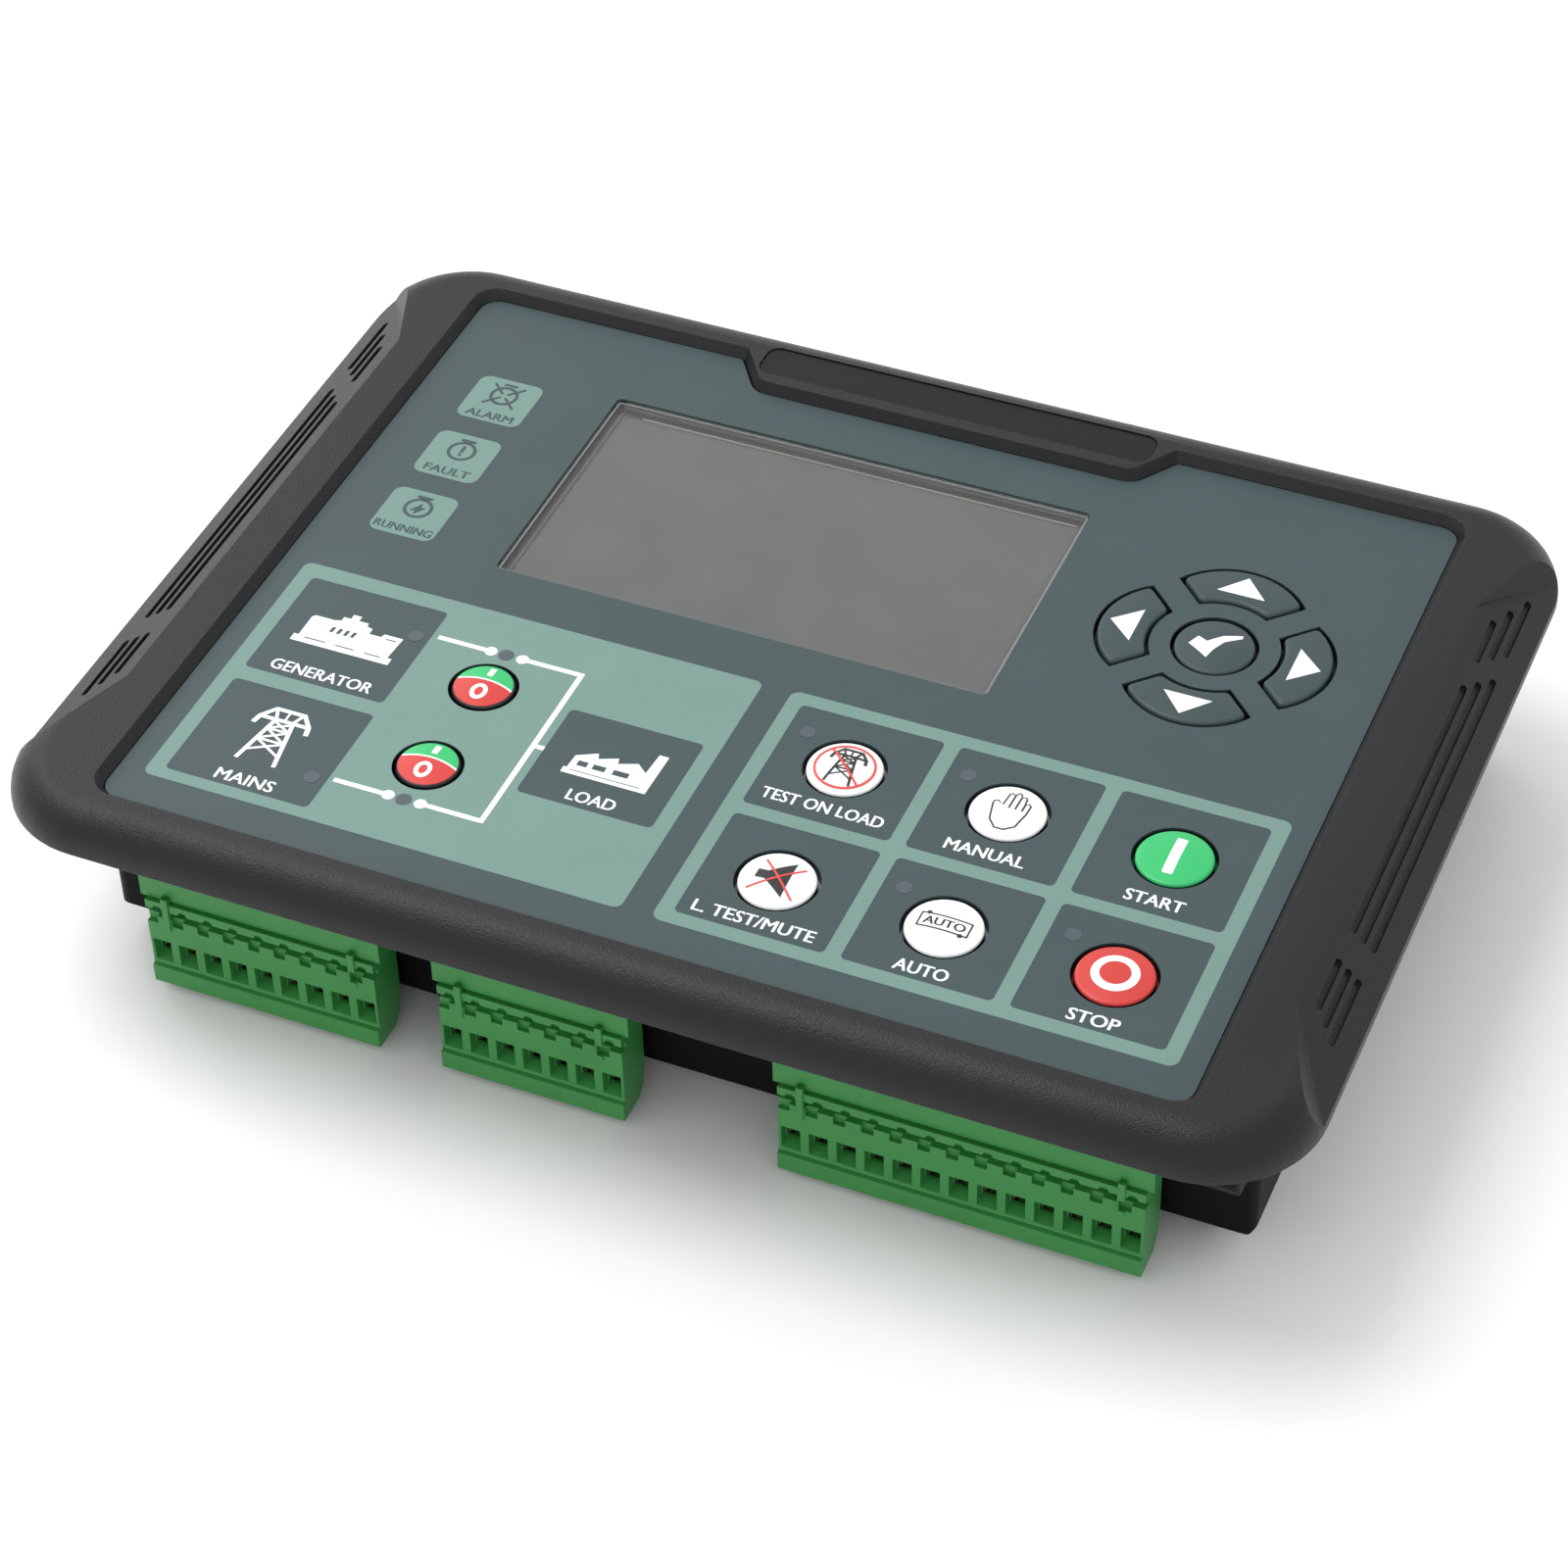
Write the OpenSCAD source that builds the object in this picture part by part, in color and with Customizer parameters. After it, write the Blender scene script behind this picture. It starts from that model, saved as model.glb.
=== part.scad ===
// Panel-mounted generator controller: a rolled charcoal bezel with a printed face,
// a display, thirteen keys, two boards in a rear housing and three terminal plugs.
// It lies on its back: Z = 0 is the rear face, the face looks up along +Z.

/* [Bezel] */
// Width of the bezel
bezel_w = 239; // [237:0.5:246]
// Height of the bezel
bezel_h = 175; // [174:0.5:182]
// Depth from the back of the housing to the top of the bezel
overall_d = 50; // [49.5:0.5:60]
// Thickness of the bezel's rim over the panel
rim_t = 7.8; // [7.6:0.1:9]
// Radius of the bezel's corners in plan
bezel_corner_r = 20; // [18:0.5:24]
// Radius of the rolled outer edge
bezel_edge_r = 7.5; // [5:0.25:7.5]
// Width of the side frames
side_frame = 19; // [18:0.25:19.5]
// Width of the top and bottom frames
end_frame = 9; // [8:0.25:9.5]
// Height of the lip above the face film
lip_h = 2; // [1.5:0.1:2.2]
// Run of the lip's sloping inner face
lip_run = 1.4; // [0.6:0.1:2]
// Radius of the lip's corners
lip_corner_r = 5; // [3:0.5:7]
// Thickness of the plate that carries the keys
plate_t = 2.5; // [2.2:0.1:3]

/* [Side scoops] */
// Length of the scooped facet along its inner edge
scoop_l = 106; // [100:1:110]
// Slope of the facet below the bezel's top
scoop_angle = 28; // [20:1:30]
// Distance from the bezel's outer edge to the top of the facet
scoop_in = 11.5; // [10:0.25:12.5]
// Angle by which the facet's end edges spread towards the outside
scoop_skew = 57; // [45:1:60]
// Slope of the ramp at each end of the facet
scoop_ramp = 32; // [25:1:45]
// Width of a grip groove
groove_w = 1.2; // [0.8:0.1:1.5]
// Depth of a grip groove
groove_depth = 0.8; // [0.4:0.1:1.2]
// Distance between grip grooves
groove_pitch = 2.2; // [2:0.1:2.4]
// Length of the middle groove nearest the face
groove_long = 66; // [60:1:68]
// Length of the end grooves nearest the face
groove_short = 12; // [8:1:13]
// Gain in length of the middle grooves towards the outside
groove_long_gain = 3.5; // [2:0.25:4]
// Gain in length of the end grooves towards the outside
groove_short_gain = 2; // [1:0.25:2.25]
// Space between the middle and the end grooves
groove_gap = 6.8; // [5:0.2:7.2]
// Distance from the top of the facet to the first groove
groove_first = 3.9; // [3.4:0.1:4.2]
// Middle of the facet and of its first groove above the middle of the bezel
groove_rise = 3; // [0:0.25:3.5]
// Gain in that height from groove to groove
groove_rise_gain = 1.1; // [0:0.1:1.2]

/* [Name plate] */
// Width of the raised tongue at its foot
tongue_w = 84; // [78:1:92]
// Drop of the tongue into the face
tongue_drop = 10; // [8:0.5:11]
// Inset of the tongue's sloping ends
tongue_slant = 6; // [4:0.5:8]
// Width of the name plate
nameplate_w = 79; // [60:1:80]
// Height of the name plate
nameplate_h = 8; // [6:0.5:8.5]
// Thickness of the name plate
nameplate_t = 0.6; // [0.4:0.1:0.8]
// Depth of the name plate below the bezel's top
nameplate_sink = 0.3; // [0.1:0.1:0.4]
// Distance from the bezel's outer edge to the name plate
nameplate_in = 7; // [6.5:0.25:8]

/* [Face film] */
// Thickness of the printed film
film_t = 0.5; // [0.3:0.05:0.7]
// Gap between the film and the lip
film_gap = 0.15; // [0.1:0.05:0.3]

/* [Display] */
// Width of the film's display opening
window_w = 96; // [90:0.5:97]
// Height of the film's display opening
window_h = 54.2; // [50:0.2:55]
// Shift of the display to the right of even spacing
window_shift_x = 2.55; // [1:0.05:3]
// Shift of the display below even spacing
window_shift_y = 0.77; // [0:0.01:2]
// Width of the clear window hidden under the film on each side
window_lap = 0.5; // [0.3:0.1:0.8]
// Thickness of the clear window
window_t = 2.4; // [1.8:0.1:2.4]
// Clearance round the clear window
window_gap = 0.1; // [0.05:0.05:0.2]
// Border of the display frame outside the film's opening
lcd_border = 4; // [3.5:0.25:4.5]
// Lap of the display frame over the glass
lcd_lap = 2; // [1.5:0.25:3]
// Sheet thickness of the display frame
lcd_sheet = 0.4; // [0.3:0.1:0.5]
// Thickness of the display glass
lcd_glass_t = 1.8; // [1.4:0.1:2]
// Clearance between the glass and the display frame
lcd_gap = 0.2; // [0.1:0.05:0.3]

/* [Keys] */
// Radius of a control key
key_r = 6.75; // [6:0.25:7.25]
// Radius of a breaker key
breaker_key_r = 5.65; // [5:0.25:6]
// Radius of the confirm key
confirm_key_r = 7.25; // [6.5:0.25:7.5]
// Inner radius of the navigation keys
nav_in_r = 12.45; // [12.25:0.1:13]
// Outer radius of the navigation keys
nav_out_r = 21.35; // [20:0.25:22]
// Radius of a ring key's outer edge
nav_bow_r = 13.7; // [12:0.1:18]
// Half the space between neighbouring navigation keys
nav_half_gap = 3.25; // [3:0.1:4]
// Gap between a key and its opening
key_gap = 0.7; // [0.4:0.1:0.9]
// Rise of the round keys' crowns above the film
key_rise = 0.75; // [0.6:0.05:1.4]
// Rise of the ring keys above the film
ring_key_rise = 0.6; // [0:0.05:0.7]
// Radius of the crown on the round keys
key_crown_r = 31; // [28:1:80]
// Travel of a key
key_travel = 1; // [0.6:0.1:1.1]
// Thickness of the flange that keeps a key in
key_flange_t = 1; // [0.8:0.1:1.1]
// Reach of the flange past the key's opening
key_flange_lap = 0.8; // [0.5:0.1:1]
// Play between the flange and the plate
key_play = 0.2; // [0.1:0.05:0.3]
// Radius of a key's stem
key_stem_r = 2; // [1.5:0.1:2.5]
// Distance between key columns
key_pitch_x = 30; // [29:0.25:31]
// Distance between key rows
key_pitch_y = 29.8; // [29:0.2:30.4]
// Last key column, in from the right edge of the face
key_in = 20.6; // [19.5:0.1:21.5]
// Shift of the key rows below even spacing
key_shift_y = 0.08; // [0:0.01:1]
// Breaker key column, in from the left edge of the face
breaker_in = 50.2; // [49:0.1:53]
// Distance between the breaker keys
breaker_pitch = 21.9; // [20:0.1:23]
// Shift of the navigation keys to the right of even spacing
nav_shift_x = -0.175; // [-1:0.025:1]
// Rise of the navigation keys above the display's centre
nav_rise = 0.1; // [-1:0.1:2]

/* [Key mat] */
// Thickness of the silicone mat
mat_t = 0.8; // [0.6:0.1:0.8]
// Wall thickness of a spring dome
dome_wall = 0.5; // [0.4:0.05:0.6]
// Radius of a spring dome at its foot
dome_r = 4.2; // [4:0.1:4.6]
// Clearance between a dome and the stem above it
dome_gap = 0.05; // [0.02:0.01:0.1]
// Margin of the mat round the outermost domes
mat_margin = 7; // [5.5:0.25:7.5]
// Margin of the mat round the navigation domes
mat_nav_margin = 5.5; // [5:0.1:5.5]

/* [Lamps] */
// Radius of an indicator lamp
led_r = 1.5; // [1.2:0.1:1.6]
// Clearance round a lamp
led_gap = 0.15; // [0.1:0.05:0.3]
// Lamp position to the left of a control key
led_dx = 9.6; // [9.2:0.1:10]
// Lamp position above a control key
led_dy = 6.3; // [6:0.1:6.8]
// Side of a lamp field
lamp_field = 13; // [11:0.25:14]
// Shift of the lamp fields to the right of even spacing
lamp_shift_x = 1.325; // [0:0.025:2]
// Drop of the middle lamp field below the display's centre
lamp_drop = 0.5; // [-1:0.1:1]
// Distance between lamp fields
lamp_pitch = 18.3; // [17:0.1:19]
// Thickness of a light guide's flange
guide_flange_t = 1; // [0.8:0.1:1.2]

/* [Boards] */
// Thickness of the circuit boards
board_t = 1.6; // [1.2:0.1:2]
// Height from the display board to the key plate
board_drop = 3.8; // [3.6:0.1:4.4]
// Space between the two boards
board_gap = 6.5; // [6:0.25:8]
// Clearance of the boards inside the housing
board_clear = 1; // [0.5:0.1:1.5]
// Amount by which the main board stops short at the terminals
main_board_trim = 1.2; // [1:0.1:2]
// Outer radius of a board boss
boss_r = 3; // [2.6:0.1:3.4]
// Shank radius of a board screw
board_screw_r = 1.2; // [1:0.05:1.3]
// Head radius of a board screw
board_screw_head_r = 2.4; // [2:0.1:2.6]
// Head height of a board screw
board_screw_head_t = 1.6; // [1.2:0.1:1.8]
// Shank length of a board screw
board_screw_l = 4.4; // [3.6:0.1:4.8]
// Clearance of a screw in its hole
screw_gap = 0.05; // [0.02:0.01:0.1]
// Length of the stacking connector
stack_l = 26; // [20:1:30]
// Width of the stacking connector
stack_w = 5; // [5:0.1:6]
// Height of the stacking plug's base
stack_base_t = 2.5; // [2:0.1:3]
// Side of a processor chip
chip_side = 14; // [10:1:20]
// Thickness of the processor chip
chip_t = 1.4; // [1:0.1:2]
// Length of an output relay
relay_l = 19; // [16:0.5:20]
// Width of an output relay
relay_w = 15.5; // [10:0.5:16]
// Height of an output relay
relay_h = 15.5; // [12:0.5:20]
// Space between the outer relays and the housing's screw columns
relay_end_gap = 11; // [8:0.5:14]
// Radius of a supply capacitor
cap_r = 5; // [4:0.5:6]
// Height of a supply capacitor
cap_h = 16; // [12:0.5:20]
// Outer radius of the supply choke
choke_r = 9; // [8:0.5:11]
// Radius of the supply choke's winding
choke_coil_r = 3; // [2.5:0.25:3.5]

/* [Rear housing] */
// Width of the seat that the panel bears on, at the sides
seat_side = 11.5; // [10.5:0.25:12]
// Width of the seat that the panel bears on, above and below
seat_end = 9.5; // [9:0.25:10]
// Wall thickness of the housing
housing_wall = 2.5; // [2:0.1:3]
// Corner radius of the housing
housing_corner_r = 3; // [2:0.25:4]
// Depth of the terminal ledge in from the lower wall
ledge_in = 13.3; // [13:0.1:14.5]
// Thickness of the terminal ledge
ledge_t = 2; // [1.6:0.1:2.2]
// Run of the bevel under the ledge's outer edge
ledge_bevel_run = 3.4; // [3:0.1:3.6]
// Rise of the bevel under the ledge's outer edge
ledge_bevel_rise = 5; // [4.5:0.1:5.2]
// Standoff of the main board above the ledge
ledge_standoff = 1.5; // [1:0.1:2]
// Bevel of the housing's rear edges
housing_bevel = 7.6; // [5:0.2:8]
// Corner radius of the housing's foot
foot_corner_r = 3; // [2:0.5:5]
// Clearance between the housing and the bezel
housing_gap = 0.1; // [0.05:0.05:0.2]
// Radius of a housing screw's column
column_r = 4.5; // [4.2:0.1:5]
// Head radius of a housing screw
housing_screw_head_r = 2.8; // [2.4:0.1:3]
// Head height of a housing screw
housing_screw_head_t = 2.4; // [2:0.1:3]
// Shank radius of a housing screw
housing_screw_r = 1.5; // [1.2:0.1:1.7]
// Shank length of a housing screw
housing_screw_l = 9.5; // [8:0.25:10]
// Housing screws, in from the side walls and the upper wall
column_in = 10.5; // [10:0.25:11.5]
// Lower housing screws, in from the wall under the ledge
column_low_in = 11.2; // [10.2:0.2:13]
// Length of a clip slot in the housing's side
clip_slot_l = 12; // [8:0.5:16]
// Width of a clip slot
clip_slot_w = 3.5; // [3:0.1:3.8]
// Clip slots above and below the centre
clip_slot_y = 40; // [35:1:45]
// Distance from the panel seat to a clip slot
clip_slot_drop = 14; // [13:0.5:16]
// Width of the panel gasket
gasket_w = 4; // [3:0.25:5]
// Thickness of the panel gasket
gasket_t = 1.6; // [1.2:0.1:2]
// Height that the gasket stands out of its groove
gasket_proud = 0.6; // [0.3:0.1:0.8]

/* [Terminals] */
// Distance between poles
pole_pitch = 5.08; // [5:0.01:5.16]
// Left end of the 9-way header, in from the housing's side
plug_left_in = 12.3; // [10.5:0.1:13]
// Space between the 9-way and the 7-way header
plug_gap = 10.2; // [8:0.1:12]
// Right end of the 13-way header, in from the housing's side
plug_right_in = 14.55; // [12:0.05:16]
// End wall of a header outside its outer poles
header_end = 0.83; // [0.7:0.05:0.95]
// Amount by which a plug stops short of its outer poles
plug_trim = 0.25; // [0.1:0.05:0.3]
// Thickness of a plug from front to back
plug_t = 8.4; // [8.2:0.1:9]
// Height of a plug below its header
plug_h = 20; // [19.6:0.1:20.4]
// Gap between a plug and the housing behind it
plug_clear = 1.9; // [1.5:0.1:2.4]
// Length of a header below the ledge
header_drop = 5.8; // [5.5:0.1:6]
// Thickness of a header from front to back
header_t = 7.6; // [7.4:0.1:8]
// Side wall of a header
header_wall = 0.8; // [0.6:0.05:0.9]
// Thickness of a header's floor
header_floor = 2.4; // [2:0.1:2.8]
// Clearance of a plug's tongue in its header
tongue_gap = 0.15; // [0.1:0.05:0.25]
// Side of a header pin
pin_side = 1; // [0.8:0.05:1.1]
// Width of a wire entry
entry_w = 3.5; // [3.2:0.05:3.8]
// Height of a wire entry
entry_h = 5.1; // [4.8:0.1:5.2]
// Height of a wire entry's sill above the plug's foot
entry_sill = 5.2; // [5:0.1:5.4]
// Width of the metal cage behind a wire entry
cage_w = 3.2; // [3:0.05:3.4]
// Depth of the metal cage behind a wire entry
cage_d = 3.4; // [3.2:0.05:3.6]
// Clearance of a cage in its chamber
cage_gap = 0.1; // [0.05:0.05:0.15]
// Head radius of a clamp screw
clamp_screw_head_r = 1.7; // [1.5:0.05:1.8]
// Shank radius of a clamp screw
clamp_screw_r = 1.1; // [0.9:0.05:1.2]

/* [Hidden] */
$fn = 64;
// Overrun of a cutting shape past the face that it opens
over = 1;

// Levels, from the top of the bezel down
z_film = overall_d - lip_h;
z_plate = z_film - film_t;
z_under = z_plate - plate_t;
z_seat = overall_d - rim_t;
z_flange_top = z_under - key_play;
z_flange = z_flange_top - key_flange_t;
z_board = z_under - board_drop;
z_board_low = z_board - board_t;
z_mat = z_board + mat_t;
z_stem = z_mat + key_travel;
z_main_top = z_board_low - board_gap;
z_main = z_main_top - board_t;
z_ledge_top = z_main - ledge_standoff;
z_ledge = z_ledge_top - ledge_t;
z_header = z_ledge - header_drop;
z_plug = z_header - plug_h;

// Face sizes
opening_w = bezel_w - 2 * side_frame;
opening_h = bezel_h - 2 * end_frame;
face_w = opening_w - 2 * lip_run;
face_h = opening_h - 2 * lip_run;
face_corner_r = max(lip_corner_r - lip_run, film_t);
tongue_low = opening_h / 2 - tongue_drop;
tongue_corner_r = 3;
tongue_low_y = tongue_low + lip_run + tongue_corner_r;
tongue_top_y = opening_h / 2 + tongue_corner_r;
tongue_corners = [
    [-tongue_w / 2, tongue_top_y],
    [-tongue_w / 2 + tongue_slant, tongue_low_y],
    [tongue_w / 2 - tongue_slant, tongue_low_y],
    [tongue_w / 2, tongue_top_y]
];
hull_fn = 32;
nameplate_y = bezel_h / 2 - nameplate_in - nameplate_h / 2;
nameplate_corner_r = 2.4;
nameplate_gap = 0.15;
scoop_cut = 2 * bezel_edge_r;
foot_spread = 3;
groove_count = 3;

// Face layout: lamp fields, display and navigation keys across, display and key rows down
flange_grow = key_gap + key_flange_lap;
guide_inset = 0.8;
guide_side = lamp_field - 2 * guide_inset;
guide_flange_side = guide_side + 2 * guide_flange_t;
lcd_frame_w = window_w + 2 * lcd_border;
lcd_frame_h = window_h + 2 * lcd_border;
nav_reach = nav_out_r + flange_grow;
key_reach = key_r + flange_grow;
across_gap = (face_w - guide_flange_side - lcd_frame_w - 2 * nav_reach) / 4;
down_gap = (face_h - lcd_frame_h - key_pitch_y - 2 * key_reach) / 3;
lamp_x = -face_w / 2 + across_gap + guide_flange_side / 2 + lamp_shift_x;
window_x = -face_w / 2 + 2 * across_gap + guide_flange_side + lcd_frame_w / 2 + window_shift_x;
window_y = face_h / 2 - down_gap - lcd_frame_h / 2 - window_shift_y;
nav_x = face_w / 2 - across_gap - nav_reach + nav_shift_x;
nav_y = window_y + nav_rise;
lamp_y = window_y - lamp_drop;

// Display sizes
window_corner_r = 1.2;
pane_w = window_w + 2 * window_lap;
pane_h = window_h + 2 * window_lap;
lcd_glass_w = lcd_frame_w - 2 * (lcd_sheet + lcd_gap);
lcd_glass_h = lcd_frame_h - 2 * (lcd_sheet + lcd_gap);
lcd_view_w = window_w - 2 * lcd_lap;
lcd_view_h = window_h - 2 * lcd_lap;
z_glass_top = z_under - lcd_sheet;
z_glass = z_glass_top - lcd_glass_t;

// Key places
columns = [for (i = [2:-1:0]) face_w / 2 - key_in - i * key_pitch_x];
low_row = -face_h / 2 + down_gap + key_reach - key_shift_y;
rows = [low_row + key_pitch_y, low_row];
breaker_x = -face_w / 2 + breaker_in;
breaker_mid = (rows[0] + rows[1]) / 2;
nav_mid_r = (nav_in_r + nav_out_r) / 2;
at_nav = [nav_x, nav_y];
at_test = [columns[0], rows[0]];
at_manual = [columns[1], rows[0]];
at_start = [columns[2], rows[0]];
at_mute = [columns[0], rows[1]];
at_auto = [columns[1], rows[1]];
at_stop = [columns[2], rows[1]];
at_generator = [breaker_x, breaker_mid + breaker_pitch / 2];
at_mains = [breaker_x, breaker_mid - breaker_pitch / 2];
control_keys = [at_test, at_manual, at_start, at_mute, at_auto, at_stop];
breaker_keys = [at_generator, at_mains];
nav_turns = [0, 90, 180, 270];
nav_stems = [for (a = nav_turns) at_nav + nav_mid_r * [-sin(a), cos(a)]];
stems = concat(control_keys, breaker_keys, [at_nav], nav_stems);

// Lamp places
led_shift = [-led_dx, led_dy];
mimic_led_rise = 9.3;
tile_led_x = 17.4;
led_keys = [at_test, at_manual, at_auto, at_stop];
mimic_leds = [at_generator + [0, mimic_led_rise], at_mains - [0, mimic_led_rise]];
tile_leds = [for (p = mimic_leds) p - [tile_led_x, 0]];
face_leds = concat([for (p = led_keys) p + led_shift], mimic_leds, tile_leds);
lamp_fields = [for (i = [-1:1]) [lamp_x, lamp_y + i * lamp_pitch]];
led_foot_t = 0.6;
mat_led_gap = 1.5;
guide_gap = 0.1;

// Board places
inner_w = bezel_w - 2 * (seat_side + housing_wall);
inner_h = bezel_h - 2 * (seat_end + housing_wall);
board_w = inner_w - 2 * board_clear;
board_h = inner_h - 2 * board_clear;
board_edge_in = 3.5;
column_x = inner_w / 2 - column_in;
column_top = inner_h / 2 - column_in;
housing_w = bezel_w - 2 * seat_side;
housing_h = bezel_h - 2 * seat_end;
ledge_wall_y = housing_h / 2 - ledge_in;
column_low = ledge_wall_y - housing_wall - column_low_in;
display_bosses = [
    [window_x - lcd_frame_w / 4, board_h / 2 - board_edge_in],
    [nav_x - nav_out_r, board_h / 2 - board_edge_in],
    [-column_x, -board_edge_in],
    [column_x, -board_edge_in],
    [breaker_x / 2, -board_h / 2 + board_edge_in],
    [columns[0] + key_pitch_x / 2, -board_h / 2 + board_edge_in]
];
main_boss_x = column_x;
main_boss_low = 20;
main_boss_top = 42;
main_bosses = [for (x = [-main_boss_x, main_boss_x], y = [-main_boss_low, main_boss_top]) [x, y]];
columns_at = [for (x = [-column_x, column_x], y = [-column_low, column_top]) [x, y]];
column_hole_gap = 1;
stack_pin = 0.64;
stack_pin_gap = 0.03;
stack_pitch = 2.54;
stack_count = 10;
stack_in = 9.1;
stack_y = board_h / 2 - stack_in;
relay_count = 6;
relay_reach = column_x - column_r - relay_end_gap;
relay_pitch = (2 * relay_reach - relay_l) / (relay_count - 1);
relay_y = -40;
cap_count = 3;
cap_pitch = 3 * cap_r;
supply_y = 38;
supply_in = 25;
supply_x = -column_x + supply_in;
choke_x = supply_x + (cap_count + 1) * cap_pitch;
chip_y = 10;

// Housing places
column_gap = 1;
z_column_top = z_board_low - column_gap;
z_screw_seat = z_column_top - housing_wall;
z_screw_tip = z_screw_seat + housing_screw_l;
column_hole_r = housing_screw_r + screw_gap;
boss_hole_r = board_screw_r + screw_gap;
main_hole_depth = board_screw_l - board_t + over;
gasket_in = 2;
gasket_gap = 0.1;

// Terminal places
ways = [9, 7, 13];
plug_left = -housing_w / 2 + plug_left_in;
plug_xs = [
    plug_left + header_w(ways[0]) / 2,
    plug_left + header_w(ways[0]) + plug_gap + header_w(ways[1]) / 2,
    housing_w / 2 - plug_right_in - header_w(ways[2]) / 2
];
plug_back = ledge_wall_y + plug_clear;
plug_face = plug_back + plug_t;
header_back = plug_back;
header_face = header_back + header_t;
pin_y = -(header_back + header_t / 2);
slot_gap = 0.2;
pin_gap = 0.03;
pin_solder = 1.4;
pin_bare = header_drop + ledge_t + ledge_standoff - header_floor;
pin_short = 1;
tongue_t = header_t - 2 * (header_wall + tongue_gap);
tongue_short = 0.6;
tongue_l = pin_bare - tongue_short;
chamber_w = cage_w + 2 * cage_gap;
chamber_d = cage_d + 2 * cage_gap;
cage_h = 5.4;
cage_sheet = 0.5;
cage_drop = 0.9;
z_cage = z_plug + entry_sill - cage_drop;
contact_side = 2.2;
contact_gap = 0.1;
clamp_head_t = 1.6;
clamp_slot_w = 0.5;
clamp_slot_depth = 0.7;
clamp_hole_gap = 0.15;
entry_in = 2;
entry_rise = 0.8;
throat_w = 3;
strip_h = 1.9;
recess_h = 1.6;
recess_depth = 1.8;
pit_w = 2.2;
pit_h = 1.7;
pit_depth = 0.9;
pit_shift = 1.2;
notch_r = 0.9;
rib_w = 1.3;
rib_drop = 4.3;
rib_in = 1.9;
rib_proud = 0.4;
foot_lip = 0.7;
foot_lip_h = 4.1;
foot_bevel = 0.3;
foot_groove = 0.5;
back_scoop = 2.6;
back_scoop_h = 6;

function header_w(n) = n * pole_pitch + 2 * header_end;
function plug_w(n) = n * pole_pitch - 2 * plug_trim;
function poles(n) = [for (i = [0:n - 1]) (i - (n - 1) / 2) * pole_pitch];
all_poles = [for (k = [0:len(ways) - 1]) for (p = poles(ways[k])) plug_xs[k] + p];

charcoal = "#3a3b3d";
slate = "#5a6c70";
leaf = "#4f9b5c";

// Flat outline with round corners, centred
module rounded_rect(w, h, r) {
    square([w - 2 * r, h], center = true);
    square([w, h - 2 * r], center = true);
    for (x = [-1, 1], y = [-1, 1])
        translate([x * (w / 2 - r), y * (h / 2 - r)])
            circle(r);
}

// Flat outline of a groove with round ends, centred and lying along Y
module stadium(l, w) {
    square([w, l - w], center = true);
    for (s = [-1, 1])
        translate([0, s * (l - w) / 2])
            circle(w / 2);
}

// Slab of a flat outline between two levels
module slab(low, high) {
    translate([0, 0, low])
        linear_extrude(high - low)
            children();
}

// Flat outline in Y and Z, drawn out along X about a centre
module along_x(length, at = 0) {
    translate([at, 0, 0])
        rotate([90, 0, 90])
            linear_extrude(length, center = true)
                children();
}

// Block by its width about a centre, its reach from the middle in -Y, and its levels
module block(at, w, near, far, low, high) {
    translate([at - w / 2, -far, low])
        cube([w, far - near, high - low]);
}

// Profile carried round a rounded rectangle: x runs out from the corner's centre, y is the level
module rim_sweep(w, h, r) {
    for (i = [0:3]) {
        across = i % 2 == 0 ? w : h;
        along = i % 2 == 0 ? h : w;
        rotate(90 * i)
            translate([across / 2 - r, 0, 0])
                rotate([90, 0, 0])
                    linear_extrude(along - 2 * r, center = true)
                        children();
        rotate(90 * i)
            translate([across / 2 - r, along / 2 - r, 0])
                rotate_extrude(angle = 90)
                    children();
    }
}

// Bezel blank with its rolled edge
module rolled_blank() {
    rim_sweep(bezel_w, bezel_h, bezel_corner_r) {
        translate([0, z_seat])
            square([bezel_corner_r, rim_t - bezel_edge_r]);
        translate([0, overall_d - bezel_edge_r])
            square([bezel_corner_r - bezel_edge_r, bezel_edge_r]);
        translate([bezel_corner_r - bezel_edge_r, overall_d - bezel_edge_r])
            intersection() {
                circle(bezel_edge_r);
                square(bezel_edge_r);
            }
    }
    slab(z_seat, overall_d)
        square([bezel_w - 2 * bezel_corner_r, bezel_h - 2 * bezel_corner_r], center = true);
}

// Space above the face film, inside the sloping lip
module face_opening() {
    slab(z_plate, overall_d + over)
        rounded_rect(face_w, face_h, face_corner_r);
    rim_sweep(opening_w, opening_h, lip_corner_r)
        polygon([
            [0, z_film],
            [lip_corner_r - lip_run, z_film],
            [lip_corner_r, overall_d],
            [lip_corner_r, overall_d + over],
            [0, overall_d + over]
        ]);
}

// Tongue under the name plate, sloping as the lip does
module tongue() {
    hull()
        for (p = tongue_corners)
            translate([p[0], p[1], z_plate])
                cylinder(
                    r1 = tongue_corner_r + lip_run, r2 = tongue_corner_r,
                    h = overall_d - z_plate, $fn = hull_fn
                );
}

// Outline that the tongue takes out of the film
module tongue_outline() {
    hull()
        for (p = tongue_corners)
            translate(p)
                circle(tongue_corner_r + lip_run + film_gap, $fn = hull_fn);
}

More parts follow.
